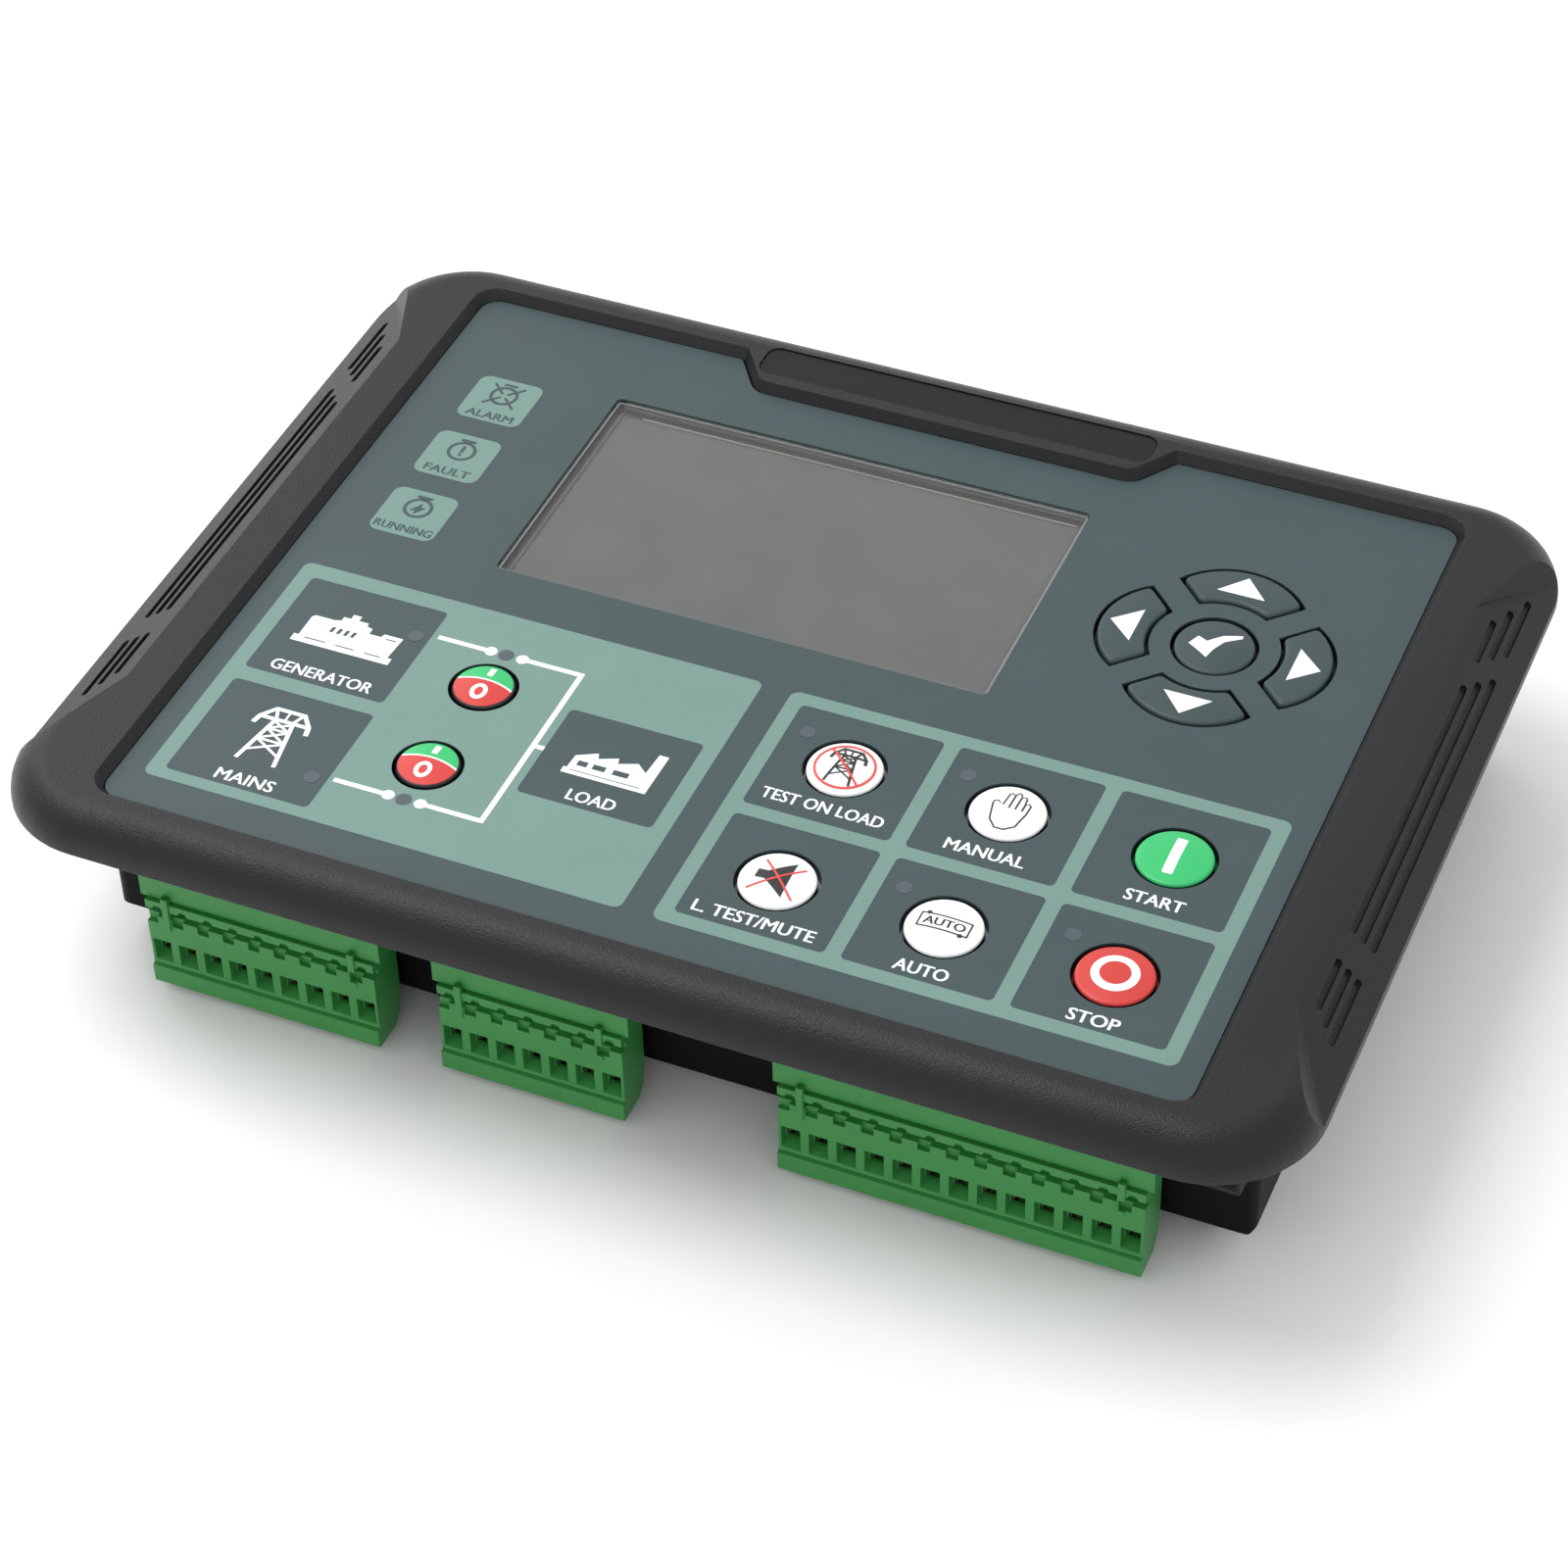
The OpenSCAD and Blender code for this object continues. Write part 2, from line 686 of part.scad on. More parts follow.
// Facet and grip grooves cut from one side of the bezel
module side_scoop() {
    facet_w = 2 * bezel_edge_r + scoop_in;
    spread = facet_w * tan(scoop_skew);
    translate([bezel_w / 2 - scoop_in, 0, overall_d])
        rotate([0, scoop_angle, 0]) {
            translate([0, groove_rise, 0]) {
                slab(0, scoop_cut)
                    polygon([
                        [0, -scoop_l / 2],
                        [facet_w, -scoop_l / 2 - spread],
                        [facet_w, scoop_l / 2 + spread],
                        [0, scoop_l / 2]
                    ]);
                scoop_end(2 * facet_w);
                mirror([0, 1, 0])
                    scoop_end(2 * facet_w);
            }
            for (i = [0:groove_count - 1]) {
                long = groove_long + i * groove_long_gain;
                short = groove_short + i * groove_short_gain;
                translate([groove_first + i * groove_pitch, groove_rise + i * groove_rise_gain])
                    slab(-groove_depth, over) {
                        stadium(long, groove_w);
                        for (s = [-1, 1])
                            translate([0, s * (long / 2 + groove_gap + short / 2)])
                                stadium(short, groove_w);
                    }
            }
        }
}

// Cut for the ramp at the upper end of a facet
module scoop_end(reach) {
    translate([0, scoop_l / 2, 0])
        rotate(scoop_skew)
            rotate([scoop_ramp, 0, 0])
                translate([-reach / 2, 0, 0])
                    cube([reach, reach, scoop_cut]);
}

// Navigation key's outline, pointing up, grown by a margin
module nav_outline(grow) {
    tip = (nav_half_gap - grow) * sqrt(2);
    reach = 2 * nav_out_r;
    intersection() {
        difference() {
            translate([0, nav_out_r - nav_bow_r])
                circle(nav_bow_r + grow);
            circle(nav_in_r - grow);
        }
        polygon([[0, tip], [reach, tip + reach], [-reach, tip + reach]]);
    }
}

// Outlines of all keys, grown by a margin
module key_outlines(grow) {
    for (p = control_keys)
        translate(p)
            circle(key_r + grow);
    for (p = breaker_keys)
        translate(p)
            circle(breaker_key_r + grow);
    translate(at_nav) {
        circle(confirm_key_r + grow);
        for (a = nav_turns)
            rotate(a)
                nav_outline(grow);
    }
}

// Film's display opening
module window_outline() {
    translate([window_x, window_y])
        rounded_rect(window_w, window_h, window_corner_r);
}

// Charcoal frame with the key plate, moulded in one piece
module front_bezel() {
    color(charcoal) {
        difference() {
            rolled_blank();
            difference() {
                face_opening();
                tongue();
            }
            slab(z_seat - over, z_under)
                rounded_rect(
                    housing_w + 2 * housing_gap, housing_h + 2 * housing_gap,
                    housing_corner_r + housing_gap
                );
            slab(z_under - over, z_plate + over) {
                key_outlines(key_gap);
                translate([window_x, window_y])
                    square([pane_w + 2 * window_gap, pane_h + 2 * window_gap], center = true);
                for (p = face_leds)
                    translate(p)
                        circle(led_r + led_gap);
                for (p = lamp_fields)
                    translate(p)
                        square(guide_side + 2 * guide_gap, center = true);
            }
            slab(overall_d - nameplate_t - nameplate_sink, overall_d + over)
                translate([0, nameplate_y])
                    rounded_rect(
                        nameplate_w + 2 * nameplate_gap, nameplate_h + 2 * nameplate_gap,
                        nameplate_corner_r + nameplate_gap
                    );
            slab(z_seat - over, z_seat + gasket_t - gasket_proud)
                gasket_outline(gasket_gap);
            side_scoop();
            mirror([1, 0, 0])
                side_scoop();
            for (p = columns_at)
                translate([p[0], p[1], z_under - over])
                    cylinder(r = column_hole_r, h = z_screw_tip + screw_gap - z_under + over);
        }
        for (p = display_bosses)
            translate([p[0], p[1], 0])
                boss(boss_r, boss_hole_r, z_board, z_under, z_board_low + board_screw_l + screw_gap);
        for (p = columns_at)
            translate([p[0], p[1], 0])
                boss(column_r, column_hole_r, z_column_top, z_under, z_under + over);
    }
}

// Boss between two levels with a pilot hole from below
module boss(r, hole_r, low, high, hole_top) {
    difference() {
        translate([0, 0, low])
            cylinder(r = r, h = high - low);
        translate([0, 0, low - over])
            cylinder(r = hole_r, h = hole_top - low + over);
    }
}

// Printed film over the key plate
module face_overlay() {
    color(slate)
        slab(z_plate, z_film)
            difference() {
                rounded_rect(face_w - 2 * film_gap, face_h - 2 * film_gap, face_corner_r);
                tongue_outline();
                window_outline();
                key_outlines(key_gap);
            }
}

// Bare plate let into the tongue
module nameplate() {
    color("#2b2e30")
        slab(overall_d - nameplate_t - nameplate_sink, overall_d - nameplate_sink)
            translate([0, nameplate_y])
                rounded_rect(nameplate_w, nameplate_h, nameplate_corner_r);
}

// Clear pane under the edge of the film
module display_window() {
    color("#9aa3a3", 0.4)
        slab(z_under, z_under + window_t)
            translate([window_x, window_y])
                square([pane_w, pane_h], center = true);
}

// Pressed frame that holds the display on its board
module lcd_frame() {
    color("#4a4540")
        translate([window_x, window_y, 0])
            difference() {
                slab(z_board, z_under)
                    square([lcd_frame_w, lcd_frame_h], center = true);
                slab(z_board - over, z_glass_top)
                    square([lcd_glass_w + 2 * lcd_gap, lcd_glass_h + 2 * lcd_gap], center = true);
                slab(z_board - over, z_under + over)
                    square([lcd_view_w, lcd_view_h], center = true);
            }
}

// Display glass
module lcd_panel() {
    color("#7a7c7c")
        slab(z_glass, z_glass_top)
            translate([window_x, window_y])
                square([lcd_glass_w, lcd_glass_h], center = true);
}

// Backlight block between the glass and the board
module lcd_backlight() {
    color("#e8e8e2")
        slab(z_board, z_glass)
            translate([window_x, window_y])
                square([lcd_glass_w, lcd_glass_h], center = true);
}

// Round key with a crowned top, its flange and its stem
module round_key(at, r, tint) {
    color(tint)
        translate([at[0], at[1], 0]) {
            intersection() {
                slab(z_flange, z_film + key_rise)
                    circle(r);
                translate([0, 0, z_film + key_rise - key_crown_r])
                    sphere(key_crown_r);
            }
            slab(z_flange, z_flange_top)
                circle(r + flange_grow);
            slab(z_stem, z_flange)
                circle(key_stem_r);
        }
}

// Navigation key turned to its side of the ring
module nav_key(turn) {
    color(slate)
        translate([nav_x, nav_y, 0])
            rotate(turn) {
                slab(z_flange, z_film + ring_key_rise)
                    nav_outline(0);
                slab(z_flange, z_flange_top)
                    nav_outline(flange_grow);
                slab(z_stem, z_flange)
                    translate([0, nav_mid_r])
                        circle(key_stem_r);
            }
}

module key_up() {
    nav_key(nav_turns[0]);
}

module key_left() {
    nav_key(nav_turns[1]);
}

module key_down() {
    nav_key(nav_turns[2]);
}

module key_right() {
    nav_key(nav_turns[3]);
}

module key_confirm() {
    round_key(at_nav, confirm_key_r, slate);
}

module key_test() {
    round_key(at_test, key_r, "white");
}

module key_manual() {
    round_key(at_manual, key_r, "white");
}

module key_start() {
    round_key(at_start, key_r, "#35d070");
}

module key_mute() {
    round_key(at_mute, key_r, "white");
}

module key_auto() {
    round_key(at_auto, key_r, "white");
}

module key_stop() {
    round_key(at_stop, key_r, "#e2483f");
}

module key_generator_breaker() {
    round_key(at_generator, breaker_key_r, "#d84840");
}

module key_mains_breaker() {
    round_key(at_mains, breaker_key_r, "#d84840");
}

// Silicone mat with a hollow spring dome under each stem
module keypad_mat() {
    mat_left = breaker_x - mat_margin;
    mat_right = columns[2] + mat_margin;
    mat_low = rows[1] - mat_margin;
    mat_top = rows[0] + mat_margin;
    nav_side = 2 * (nav_mid_r + mat_nav_margin);
    dome_top = z_stem - dome_gap;
    color("#c9ccc6")
        difference() {
            union() {
                slab(z_board, z_mat)
                    difference() {
                        union() {
                            translate([mat_left, mat_low])
                                square([mat_right - mat_left, mat_top - mat_low]);
                            translate([nav_x - nav_side / 2, mat_top - over])
                                square([nav_side, nav_y + nav_side / 2 - mat_top + over]);
                        }
                        for (p = face_leds)
                            translate(p)
                                circle(led_r + mat_led_gap);
                    }
                for (p = stems)
                    translate([p[0], p[1], z_mat])
                        cylinder(r1 = dome_r, r2 = key_stem_r + dome_wall, h = dome_top - z_mat);
            }
            for (p = stems)
                translate([p[0], p[1], z_board - over])
                    cylinder(
                        r1 = dome_r + over, r2 = key_stem_r,
                        h = dome_top - dome_wall - z_board + over
                    );
        }
}

// Clear blocks that spread the light under the lamp fields
module lamp_light_guides() {
    color("#dfe8e4", 0.6)
        for (p = lamp_fields)
            translate([p[0], p[1], 0])
                difference() {
                    union() {
                        slab(z_under, z_plate)
                            square(guide_side, center = true);
                        slab(z_under - guide_flange_t, z_under)
                            square(guide_flange_side, center = true);
                    }
                    slab(z_under - guide_flange_t - over, z_under + led_gap)
                        circle(led_r + led_gap);
                }
}

// Indicator lamps on the display board
module indicator_leds() {
    color("#b9c4cf")
        for (p = concat(face_leds, lamp_fields))
            translate([p[0], p[1], 0]) {
                slab(z_board, z_board + led_foot_t)
                    circle(led_r + led_gap);
                slab(z_board + led_foot_t, z_under - led_gap - led_r)
                    circle(led_r);
                translate([0, 0, z_under - led_gap - led_r])
                    sphere(led_r);
            }
}

// Board outline with room for the housing's columns
module board_outline() {
    difference() {
        square([board_w, board_h], center = true);
        for (p = columns_at)
            translate(p)
                circle(column_r + column_hole_gap);
    }
}

// Board behind the face
module display_board() {
    color("#2e6b45")
        slab(z_board_low, z_board)
            difference() {
                board_outline();
                for (p = display_bosses)
                    translate(p)
                        circle(boss_hole_r);
            }
}

// Pan-headed board screw, head down at the origin
module board_screw() {
    slab(-board_screw_head_t, 0)
        circle(board_screw_head_r);
    slab(0, board_screw_l)
        circle(board_screw_r);
}

// Screws that hold the display board to the bezel
module display_board_screws() {
    color("silver")
        for (p = display_bosses)
            translate([p[0], p[1], z_board_low])
                board_screw();
}

// Stacking connector's socket half, under the display board
module board_socket() {
    color("#222426")
        slab(z_main_top + stack_base_t, z_board_low)
            translate([0, stack_y])
                difference() {
                    square([stack_l, stack_w], center = true);
                    stack_pins(stack_pin + 2 * stack_pin_gap);
                }
}

// Stacking connector's plug half with its pins, on the main board
module board_plug() {
    color("#1d1f21") {
        slab(z_main_top, z_main_top + stack_base_t)
            translate([0, stack_y])
                square([stack_l, stack_w], center = true);
        slab(z_main_top + stack_base_t, z_board_low - stack_pin)
            translate([0, stack_y])
                stack_pins(stack_pin);
    }
}

// Two rows of square pins
module stack_pins(side) {
    for (i = [0:stack_count - 1], s = [-1, 1])
        translate([(i - (stack_count - 1) / 2) * stack_pitch, s * stack_pitch / 2])
            square(side, center = true);
}

// Board that carries the terminals, the relays and the supply
module main_board() {
    color("#2e6b45")
        slab(z_main, z_main_top)
            difference() {
                board_outline();
                translate([0, -board_h / 2])
                    square([2 * board_w, 2 * main_board_trim], center = true);
                for (p = main_bosses)
                    translate(p)
                        circle(boss_hole_r);
                for (x = all_poles)
                    translate([x, pin_y])
                        circle(pin_side);
            }
}

// Screws that hold the main board to the housing
module main_board_screws() {
    color("silver")
        for (p = main_bosses)
            translate([p[0], p[1], z_main_top])
                rotate([180, 0, 0])
                    board_screw();
}

// Processor on the main board
module processor_chip() {
    color("#1c1c1e")
        slab(z_main_top, z_main_top + chip_t)
            translate([0, chip_y])
                square(chip_side, center = true);
}

// Row of output relays under the main board
module output_relays() {
    color("#31353a")
        for (i = [0:relay_count - 1])
            slab(z_main - relay_h, z_main)
                translate([(i - (relay_count - 1) / 2) * relay_pitch, relay_y])
                    square([relay_l, relay_w], center = true);
}

// Supply capacitors under the main board
module supply_capacitors() {
    color("#26303c")
        for (i = [0:cap_count - 1])
            slab(z_main - cap_h, z_main)
                translate([supply_x + i * cap_pitch, supply_y])
                    circle(cap_r);
}

// Ring choke under the main board
module supply_choke() {
    color("#8a5a2a")
        translate([choke_x, supply_y, z_main - choke_coil_r])
            rotate_extrude()
                translate([choke_r - choke_coil_r, 0])
                    circle(choke_coil_r);
}

// Box with bevelled edges at its lower face
module bevelled_box(w, low_y, top_y, low, high, bevel, r) {
    h = top_y - low_y;
    translate([0, (top_y + low_y) / 2, 0])
        intersection() {
            slab(low, high)
                rounded_rect(w, h, r);
            along_x(w)
                bevelled_outline(h, low, high, bevel);
            rotate(90)
                along_x(h)
                    bevelled_outline(w, low, high, bevel);
            widening_block(w - 2 * bevel, h - 2 * bevel, foot_corner_r, low, high, foot_spread * (high - low));
        }
}

// End view of a box with bevelled lower edges, centred
module bevelled_outline(w, low, high, bevel) {
    polygon([
        [-w / 2, high],
        [-w / 2, low + bevel],
        [-w / 2 + bevel, low],
        [w / 2 - bevel, low],
        [w / 2, low + bevel],
        [w / 2, high]
    ]);
}

// Block with a round-cornered foot that spreads towards its top
module widening_block(w, h, r, low, high, spread) {
    rim_sweep(w, h, r)
        polygon([[0, low], [r, low], [r + spread, high], [0, high]]);
    slab(low, high)
        square([w - 2 * r, h - 2 * r], center = true);
}

// Shallow box over the terminals, bevelled under its outer edge, with the bevel moved in by a wall
module ledge_box(w, h, low, high, wall, r) {
    slant = ledge_bevel_run / ledge_bevel_rise;
    along = sqrt(1 + slant * slant);
    foot_y = -housing_h / 2 + ledge_bevel_run + wall * along - (low - z_ledge) * slant;
    intersection() {
        slab(low, high)
            rounded_rect(w, h, r);
        along_x(w)
            polygon([
                [h / 2, low],
                [foot_y, low],
                [-h / 2, low + (foot_y + h / 2) / slant],
                [-h / 2, high],
                [h / 2, high]
            ]);
    }
}

// Deep tub with a ledge for the terminals
module rear_housing() {
    inner_r = max(housing_corner_r - housing_wall, housing_gap);
    inner_bevel = housing_bevel - housing_wall * (2 - sqrt(2));
    top_y = housing_h / 2;
    color("#1f2022") {
        difference() {
            union() {
                bevelled_box(housing_w, -ledge_wall_y, top_y, 0, z_under, housing_bevel, housing_corner_r);
                ledge_box(housing_w, housing_h, z_ledge, z_under, 0, housing_corner_r);
            }
            bevelled_box(
                inner_w, -ledge_wall_y + housing_wall, top_y - housing_wall,
                housing_wall, z_under + over, inner_bevel, inner_r
            );
            ledge_box(inner_w, inner_h, z_ledge_top, z_under + over, housing_wall, inner_r);
            for (k = [0:len(ways) - 1])
                block(
                    plug_xs[k], header_w(ways[k]) + 2 * slot_gap,
                    header_back - slot_gap, housing_h / 2 + over,
                    z_ledge - over, z_main + slot_gap
                );
            for (y = [-clip_slot_y, clip_slot_y])
                translate([0, y, z_seat - clip_slot_drop])
                    cube([housing_w + 2 * over, clip_slot_l, clip_slot_w], center = true);
            for (p = columns_at)
                translate([p[0], p[1], -over])
                    cylinder(r = housing_screw_head_r + screw_gap, h = housing_wall + 2 * over);
        }
        for (p = main_bosses)
            translate([p[0], p[1], 0])
                rotate([180, 0, 0])
                    boss(boss_r, boss_hole_r, -z_main, -housing_wall, main_hole_depth - z_main);
        for (p = columns_at)
            translate([p[0], p[1], 0])
                difference() {
                    slab(0, z_column_top)
                        circle(column_r);
                    slab(-over, z_screw_seat)
                        circle(housing_screw_head_r + screw_gap);
                    slab(0, z_column_top + over)
                        circle(column_hole_r);
                }
    }
}

// Ring outline of the gasket, grown by a margin
module gasket_outline(grow) {
    difference() {
        rounded_rect(
            housing_w + 2 * (gasket_in + gasket_w + grow), housing_h + 2 * (gasket_in + gasket_w + grow),
            housing_corner_r + gasket_in + gasket_w + grow
        );
        rounded_rect(
            housing_w + 2 * (gasket_in - grow), housing_h + 2 * (gasket_in - grow),
            housing_corner_r + gasket_in - grow
        );
    }
}

// Foam ring between the bezel and the panel
module panel_gasket() {
    color("#2a2a2a")
        slab(z_seat - gasket_proud, z_seat + gasket_t - gasket_proud)
            gasket_outline(0);
}

// Screws that draw the housing to the bezel
module housing_screws() {
    color("silver")
        for (p = columns_at)
            translate([p[0], p[1], 0]) {
                slab(z_screw_seat - housing_screw_head_t, z_screw_seat)
                    circle(housing_screw_head_r);
                slab(z_screw_seat, z_screw_tip)
                    circle(housing_screw_r);
            }
}

// Shroud of a terminal header, open to the back
module header(at, n) {
    w = header_w(n);
    cavity_top = z_main - header_floor;
    color(leaf)
        difference() {
            block(at, w, header_back, header_face, z_header, z_main);
            block(
                at, w - 2 * header_wall, header_back + header_wall, header_face - header_wall,
                z_header - over, cavity_top
            );
            for (p = poles(n))
                slab(cavity_top - over, z_main + over)
                    translate([at + p, pin_y])
                        square(pin_side + 2 * pin_gap, center = true);
        }
}

module header_9way() {
    header(plug_xs[0], ways[0]);
}

module header_7way() {
    header(plug_xs[1], ways[1]);
}

module header_13way() {
    header(plug_xs[2], ways[2]);
}

// Square pins through the headers and the main board
module header_pins() {
    color("#c9b458")
        for (x = all_poles)
            slab(z_header + pin_short, z_main_top + pin_solder)
                translate([x, pin_y])
                    square(pin_side, center = true);
}

// Side view of a plug: strip, recess, face, foot lip and scooped back
module plug_outline(top) {
    recess_top = top - strip_h;
    recess_foot = recess_top - recess_h;
    foot_top = z_plug + foot_lip_h;
    polygon([
        [-plug_back, top],
        [-plug_face, top],
        [-plug_face, recess_top],
        [-plug_face + recess_depth, recess_top - recess_h / 3],
        [-plug_face + recess_depth, recess_foot],
        [-plug_face, recess_foot],
        [-plug_face, z_plug + entry_sill - foot_groove / 2],
        [-plug_face - foot_lip + foot_groove, foot_top + foot_groove],
        [-plug_face - foot_lip + 2 * foot_groove, foot_top + foot_groove / 2],
        [-plug_face - foot_lip, foot_top],
        [-plug_face - foot_lip, z_plug + foot_bevel],
        [-plug_face - foot_lip + foot_bevel, z_plug],
        [-plug_back - back_scoop, z_plug],
        [-plug_back - back_scoop / 3, z_plug + back_scoop_h / 3],
        [-plug_back, z_plug + back_scoop_h]
    ]);
}

// Side view of a wire entry, with its floor rising inwards
module entry_outline() {
    sill = z_plug + entry_sill;
    inner = -plug_face + entry_in;
    polygon([
        [-plug_face - over, sill],
        [-plug_face, sill],
        [inner, sill + entry_rise],
        [inner, sill + entry_h],
        [-plug_face - over, sill + entry_h]
    ]);
}

// Terminal plug that hangs in its header, wires entering from below the face
module plug(at, n) {
    top = z_header - tongue_gap;
    sill = z_plug + entry_sill;
    rib_x = poles(n)[n - 1] - rib_in;
    recess_foot = top - strip_h - recess_h;
    tongue_top = z_header + tongue_l;
    pin_in = -pin_y;
    color(leaf)
        difference() {
            union() {
                along_x(plug_w(n), at)
                    plug_outline(top);
                block(at, plug_w(n), pin_in - tongue_t / 2, pin_in + tongue_t / 2, top - over, tongue_top);
                for (x = [-rib_x, rib_x])
                    block(
                        at + x, rib_w, header_face + slot_gap, plug_face + rib_proud,
                        top - rib_drop - strip_h, z_header + rib_w
                    );
            }
            for (p = poles(n)) {
                along_x(entry_w, at + p)
                    entry_outline();
                block(
                    at + p, throat_w, pin_in, plug_face - entry_in + over,
                    sill + entry_rise, sill + entry_h
                );
                block(
                    at + p, chamber_w, pin_in - chamber_d / 2, pin_in + chamber_d / 2,
                    z_cage - cage_gap, tongue_top + over
                );
                translate([at + p, pin_y, z_plug - over])
                    cylinder(r = clamp_screw_head_r + clamp_hole_gap, h = z_cage - z_plug + over);
                block(
                    at + p - pit_shift, pit_w, plug_face - pit_depth, plug_face + over,
                    recess_foot - pit_h, recess_foot + recess_h / 2
                );
                translate([at + p, -plug_face + recess_depth, top - strip_h])
                    rotate([90, 0, 0])
                        cylinder(r = notch_r, h = recess_depth + over);
            }
        }
}

module plug_9way() {
    plug(plug_xs[0], ways[0]);
}

module plug_7way() {
    plug(plug_xs[1], ways[1]);
}

module plug_13way() {
    plug(plug_xs[2], ways[2]);
}

// Metal cage with a sleeve that grips the pin, one per pole
module clamp_cages() {
    pin_in = -pin_y;
    sleeve_top = z_header + tongue_l - cage_sheet;
    color("#c8b890")
        for (x = all_poles)
            difference() {
                union() {
                    block(x, cage_w, pin_in - cage_d / 2, pin_in + cage_d / 2, z_cage, z_cage + cage_h);
                    block(
                        x, contact_side, pin_in - contact_side / 2, pin_in + contact_side / 2,
                        z_cage + cage_h - cage_sheet, sleeve_top
                    );
                }
                block(
                    x, cage_w - 2 * cage_sheet, 0, plug_face,
                    z_cage + cage_sheet, z_cage + cage_h - cage_sheet
                );
                slab(z_cage + cage_h, sleeve_top + over)
                    translate([x, pin_y])
                        square(pin_side + 2 * contact_gap, center = true);
                slab(z_cage - over, z_cage + cage_sheet + over)
                    translate([x, pin_y])
                        circle(clamp_screw_r + screw_gap);
            }
}

// Slotted screws that close the cages, reached from the back
module clamp_screws() {
    head_top = z_cage - cage_gap;
    color("silver")
        for (x = all_poles)
            translate([x, pin_y, 0])
                difference() {
                    union() {
                        slab(head_top - clamp_head_t, head_top)
                            circle(clamp_screw_head_r);
                        slab(head_top, z_cage + 2 * cage_sheet)
                            circle(clamp_screw_r);
                    }
                    slab(head_top - clamp_head_t - over, head_top - clamp_head_t + clamp_slot_depth)
                        square([clamp_slot_w, 3 * clamp_screw_head_r], center = true);
                }
}

front_bezel();
face_overlay();
nameplate();
display_window();
lcd_frame();
lcd_panel();
lcd_backlight();
key_up();
key_down();
key_left();
key_right();
key_confirm();
key_test();
key_manual();
key_start();
key_mute();
key_auto();
key_stop();
key_generator_breaker();
key_mains_breaker();
keypad_mat();
lamp_light_guides();
indicator_leds();
display_board();
display_board_screws();
board_socket();
board_plug();
main_board();
main_board_screws();
processor_chip();
output_relays();
supply_capacitors();
supply_choke();
rear_housing();
panel_gasket();
housing_screws();
header_9way();
header_7way();
header_13way();
header_pins();
plug_9way();
plug_7way();
plug_13way();
clamp_cages();
clamp_screws();
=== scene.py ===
import math

import bmesh
import bpy
from mathutils import Matrix, Vector


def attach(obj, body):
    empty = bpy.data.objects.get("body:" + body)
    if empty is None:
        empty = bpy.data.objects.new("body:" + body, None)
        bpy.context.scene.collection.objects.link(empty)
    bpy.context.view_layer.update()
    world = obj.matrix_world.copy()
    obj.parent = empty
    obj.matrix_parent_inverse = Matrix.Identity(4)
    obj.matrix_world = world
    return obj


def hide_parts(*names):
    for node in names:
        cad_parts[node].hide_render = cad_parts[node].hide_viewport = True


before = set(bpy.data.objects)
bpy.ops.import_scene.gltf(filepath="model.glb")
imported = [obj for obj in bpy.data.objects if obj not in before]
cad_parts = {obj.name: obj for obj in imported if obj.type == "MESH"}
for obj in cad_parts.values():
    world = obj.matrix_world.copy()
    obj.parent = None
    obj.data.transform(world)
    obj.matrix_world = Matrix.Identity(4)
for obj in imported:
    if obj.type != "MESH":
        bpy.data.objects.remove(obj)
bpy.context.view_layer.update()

# Front bezel: one charcoal moulding with a rolled edge, a sloping lip round the face,
# a raised tongue for the name plate and a grooved scoop on each side.
# It is injection moulded with a fine spark texture, and every other piece is fixed to it.
MM = 0.001
MERGE = 2e-6
FLAT_ANGLE = 0.6
EDGE_ANGLE = 28
SMOOTH_ANGLE = 35
MOTTLE_SCALE = 90.0
GLOSS_SPREAD = 0.05


def socket_noise(nodes, links, coords, scale, detail):
    noise = nodes.new("ShaderNodeTexNoise")
    noise.inputs["Scale"].default_value = scale
    noise.inputs["Detail"].default_value = detail
    links.new(coords.outputs["Object"], noise.inputs["Vector"])
    return noise


def shade_range(nodes, links, noise, low, high):
    spread = nodes.new("ShaderNodeMapRange")
    spread.inputs["From Min"].default_value = 0.3
    spread.inputs["From Max"].default_value = 0.7
    spread.inputs["To Min"].default_value = low
    spread.inputs["To Max"].default_value = high
    links.new(noise.outputs["Fac"], spread.inputs["Value"])
    return spread


def moulding(name, colour, rough, grain_mm, depth_mm, mottle=0.06, metallic=0.0, specular=0.5):
    """Moulded or coated surface: fine grain as bump, slow mottling in colour and gloss."""
    finish = bpy.data.materials.new(name)
    finish.use_nodes = True
    nodes, links = finish.node_tree.nodes, finish.node_tree.links
    shader = nodes["Principled BSDF"]
    shader.inputs["Metallic"].default_value = metallic
    shader.inputs["Specular IOR Level"].default_value = specular
    coords = nodes.new("ShaderNodeTexCoord")
    slow = socket_noise(nodes, links, coords, MOTTLE_SCALE, 3.0)
    grain = socket_noise(nodes, links, coords, 1.0 / (grain_mm * MM), 2.0)
    tint = nodes.new("ShaderNodeMix")
    tint.data_type = "RGBA"
    tint.inputs["A"].default_value = [c * (1 - mottle) for c in colour] + [1]
    tint.inputs["B"].default_value = [c * (1 + mottle) for c in colour] + [1]
    fade = shade_range(nodes, links, slow, 0.0, 1.0)
    links.new(fade.outputs["Result"], tint.inputs["Factor"])
    links.new(tint.outputs["Result"], shader.inputs["Base Color"])
    gloss = shade_range(nodes, links, grain, rough - GLOSS_SPREAD, rough + GLOSS_SPREAD)
    links.new(gloss.outputs["Result"], shader.inputs["Roughness"])
    bump = nodes.new("ShaderNodeBump")
    bump.inputs["Strength"].default_value = 1.0
    bump.inputs["Distance"].default_value = depth_mm * MM
    links.new(grain.outputs["Fac"], bump.inputs["Height"])
    links.new(bump.outputs["Normal"], shader.inputs["Normal"])
    return finish


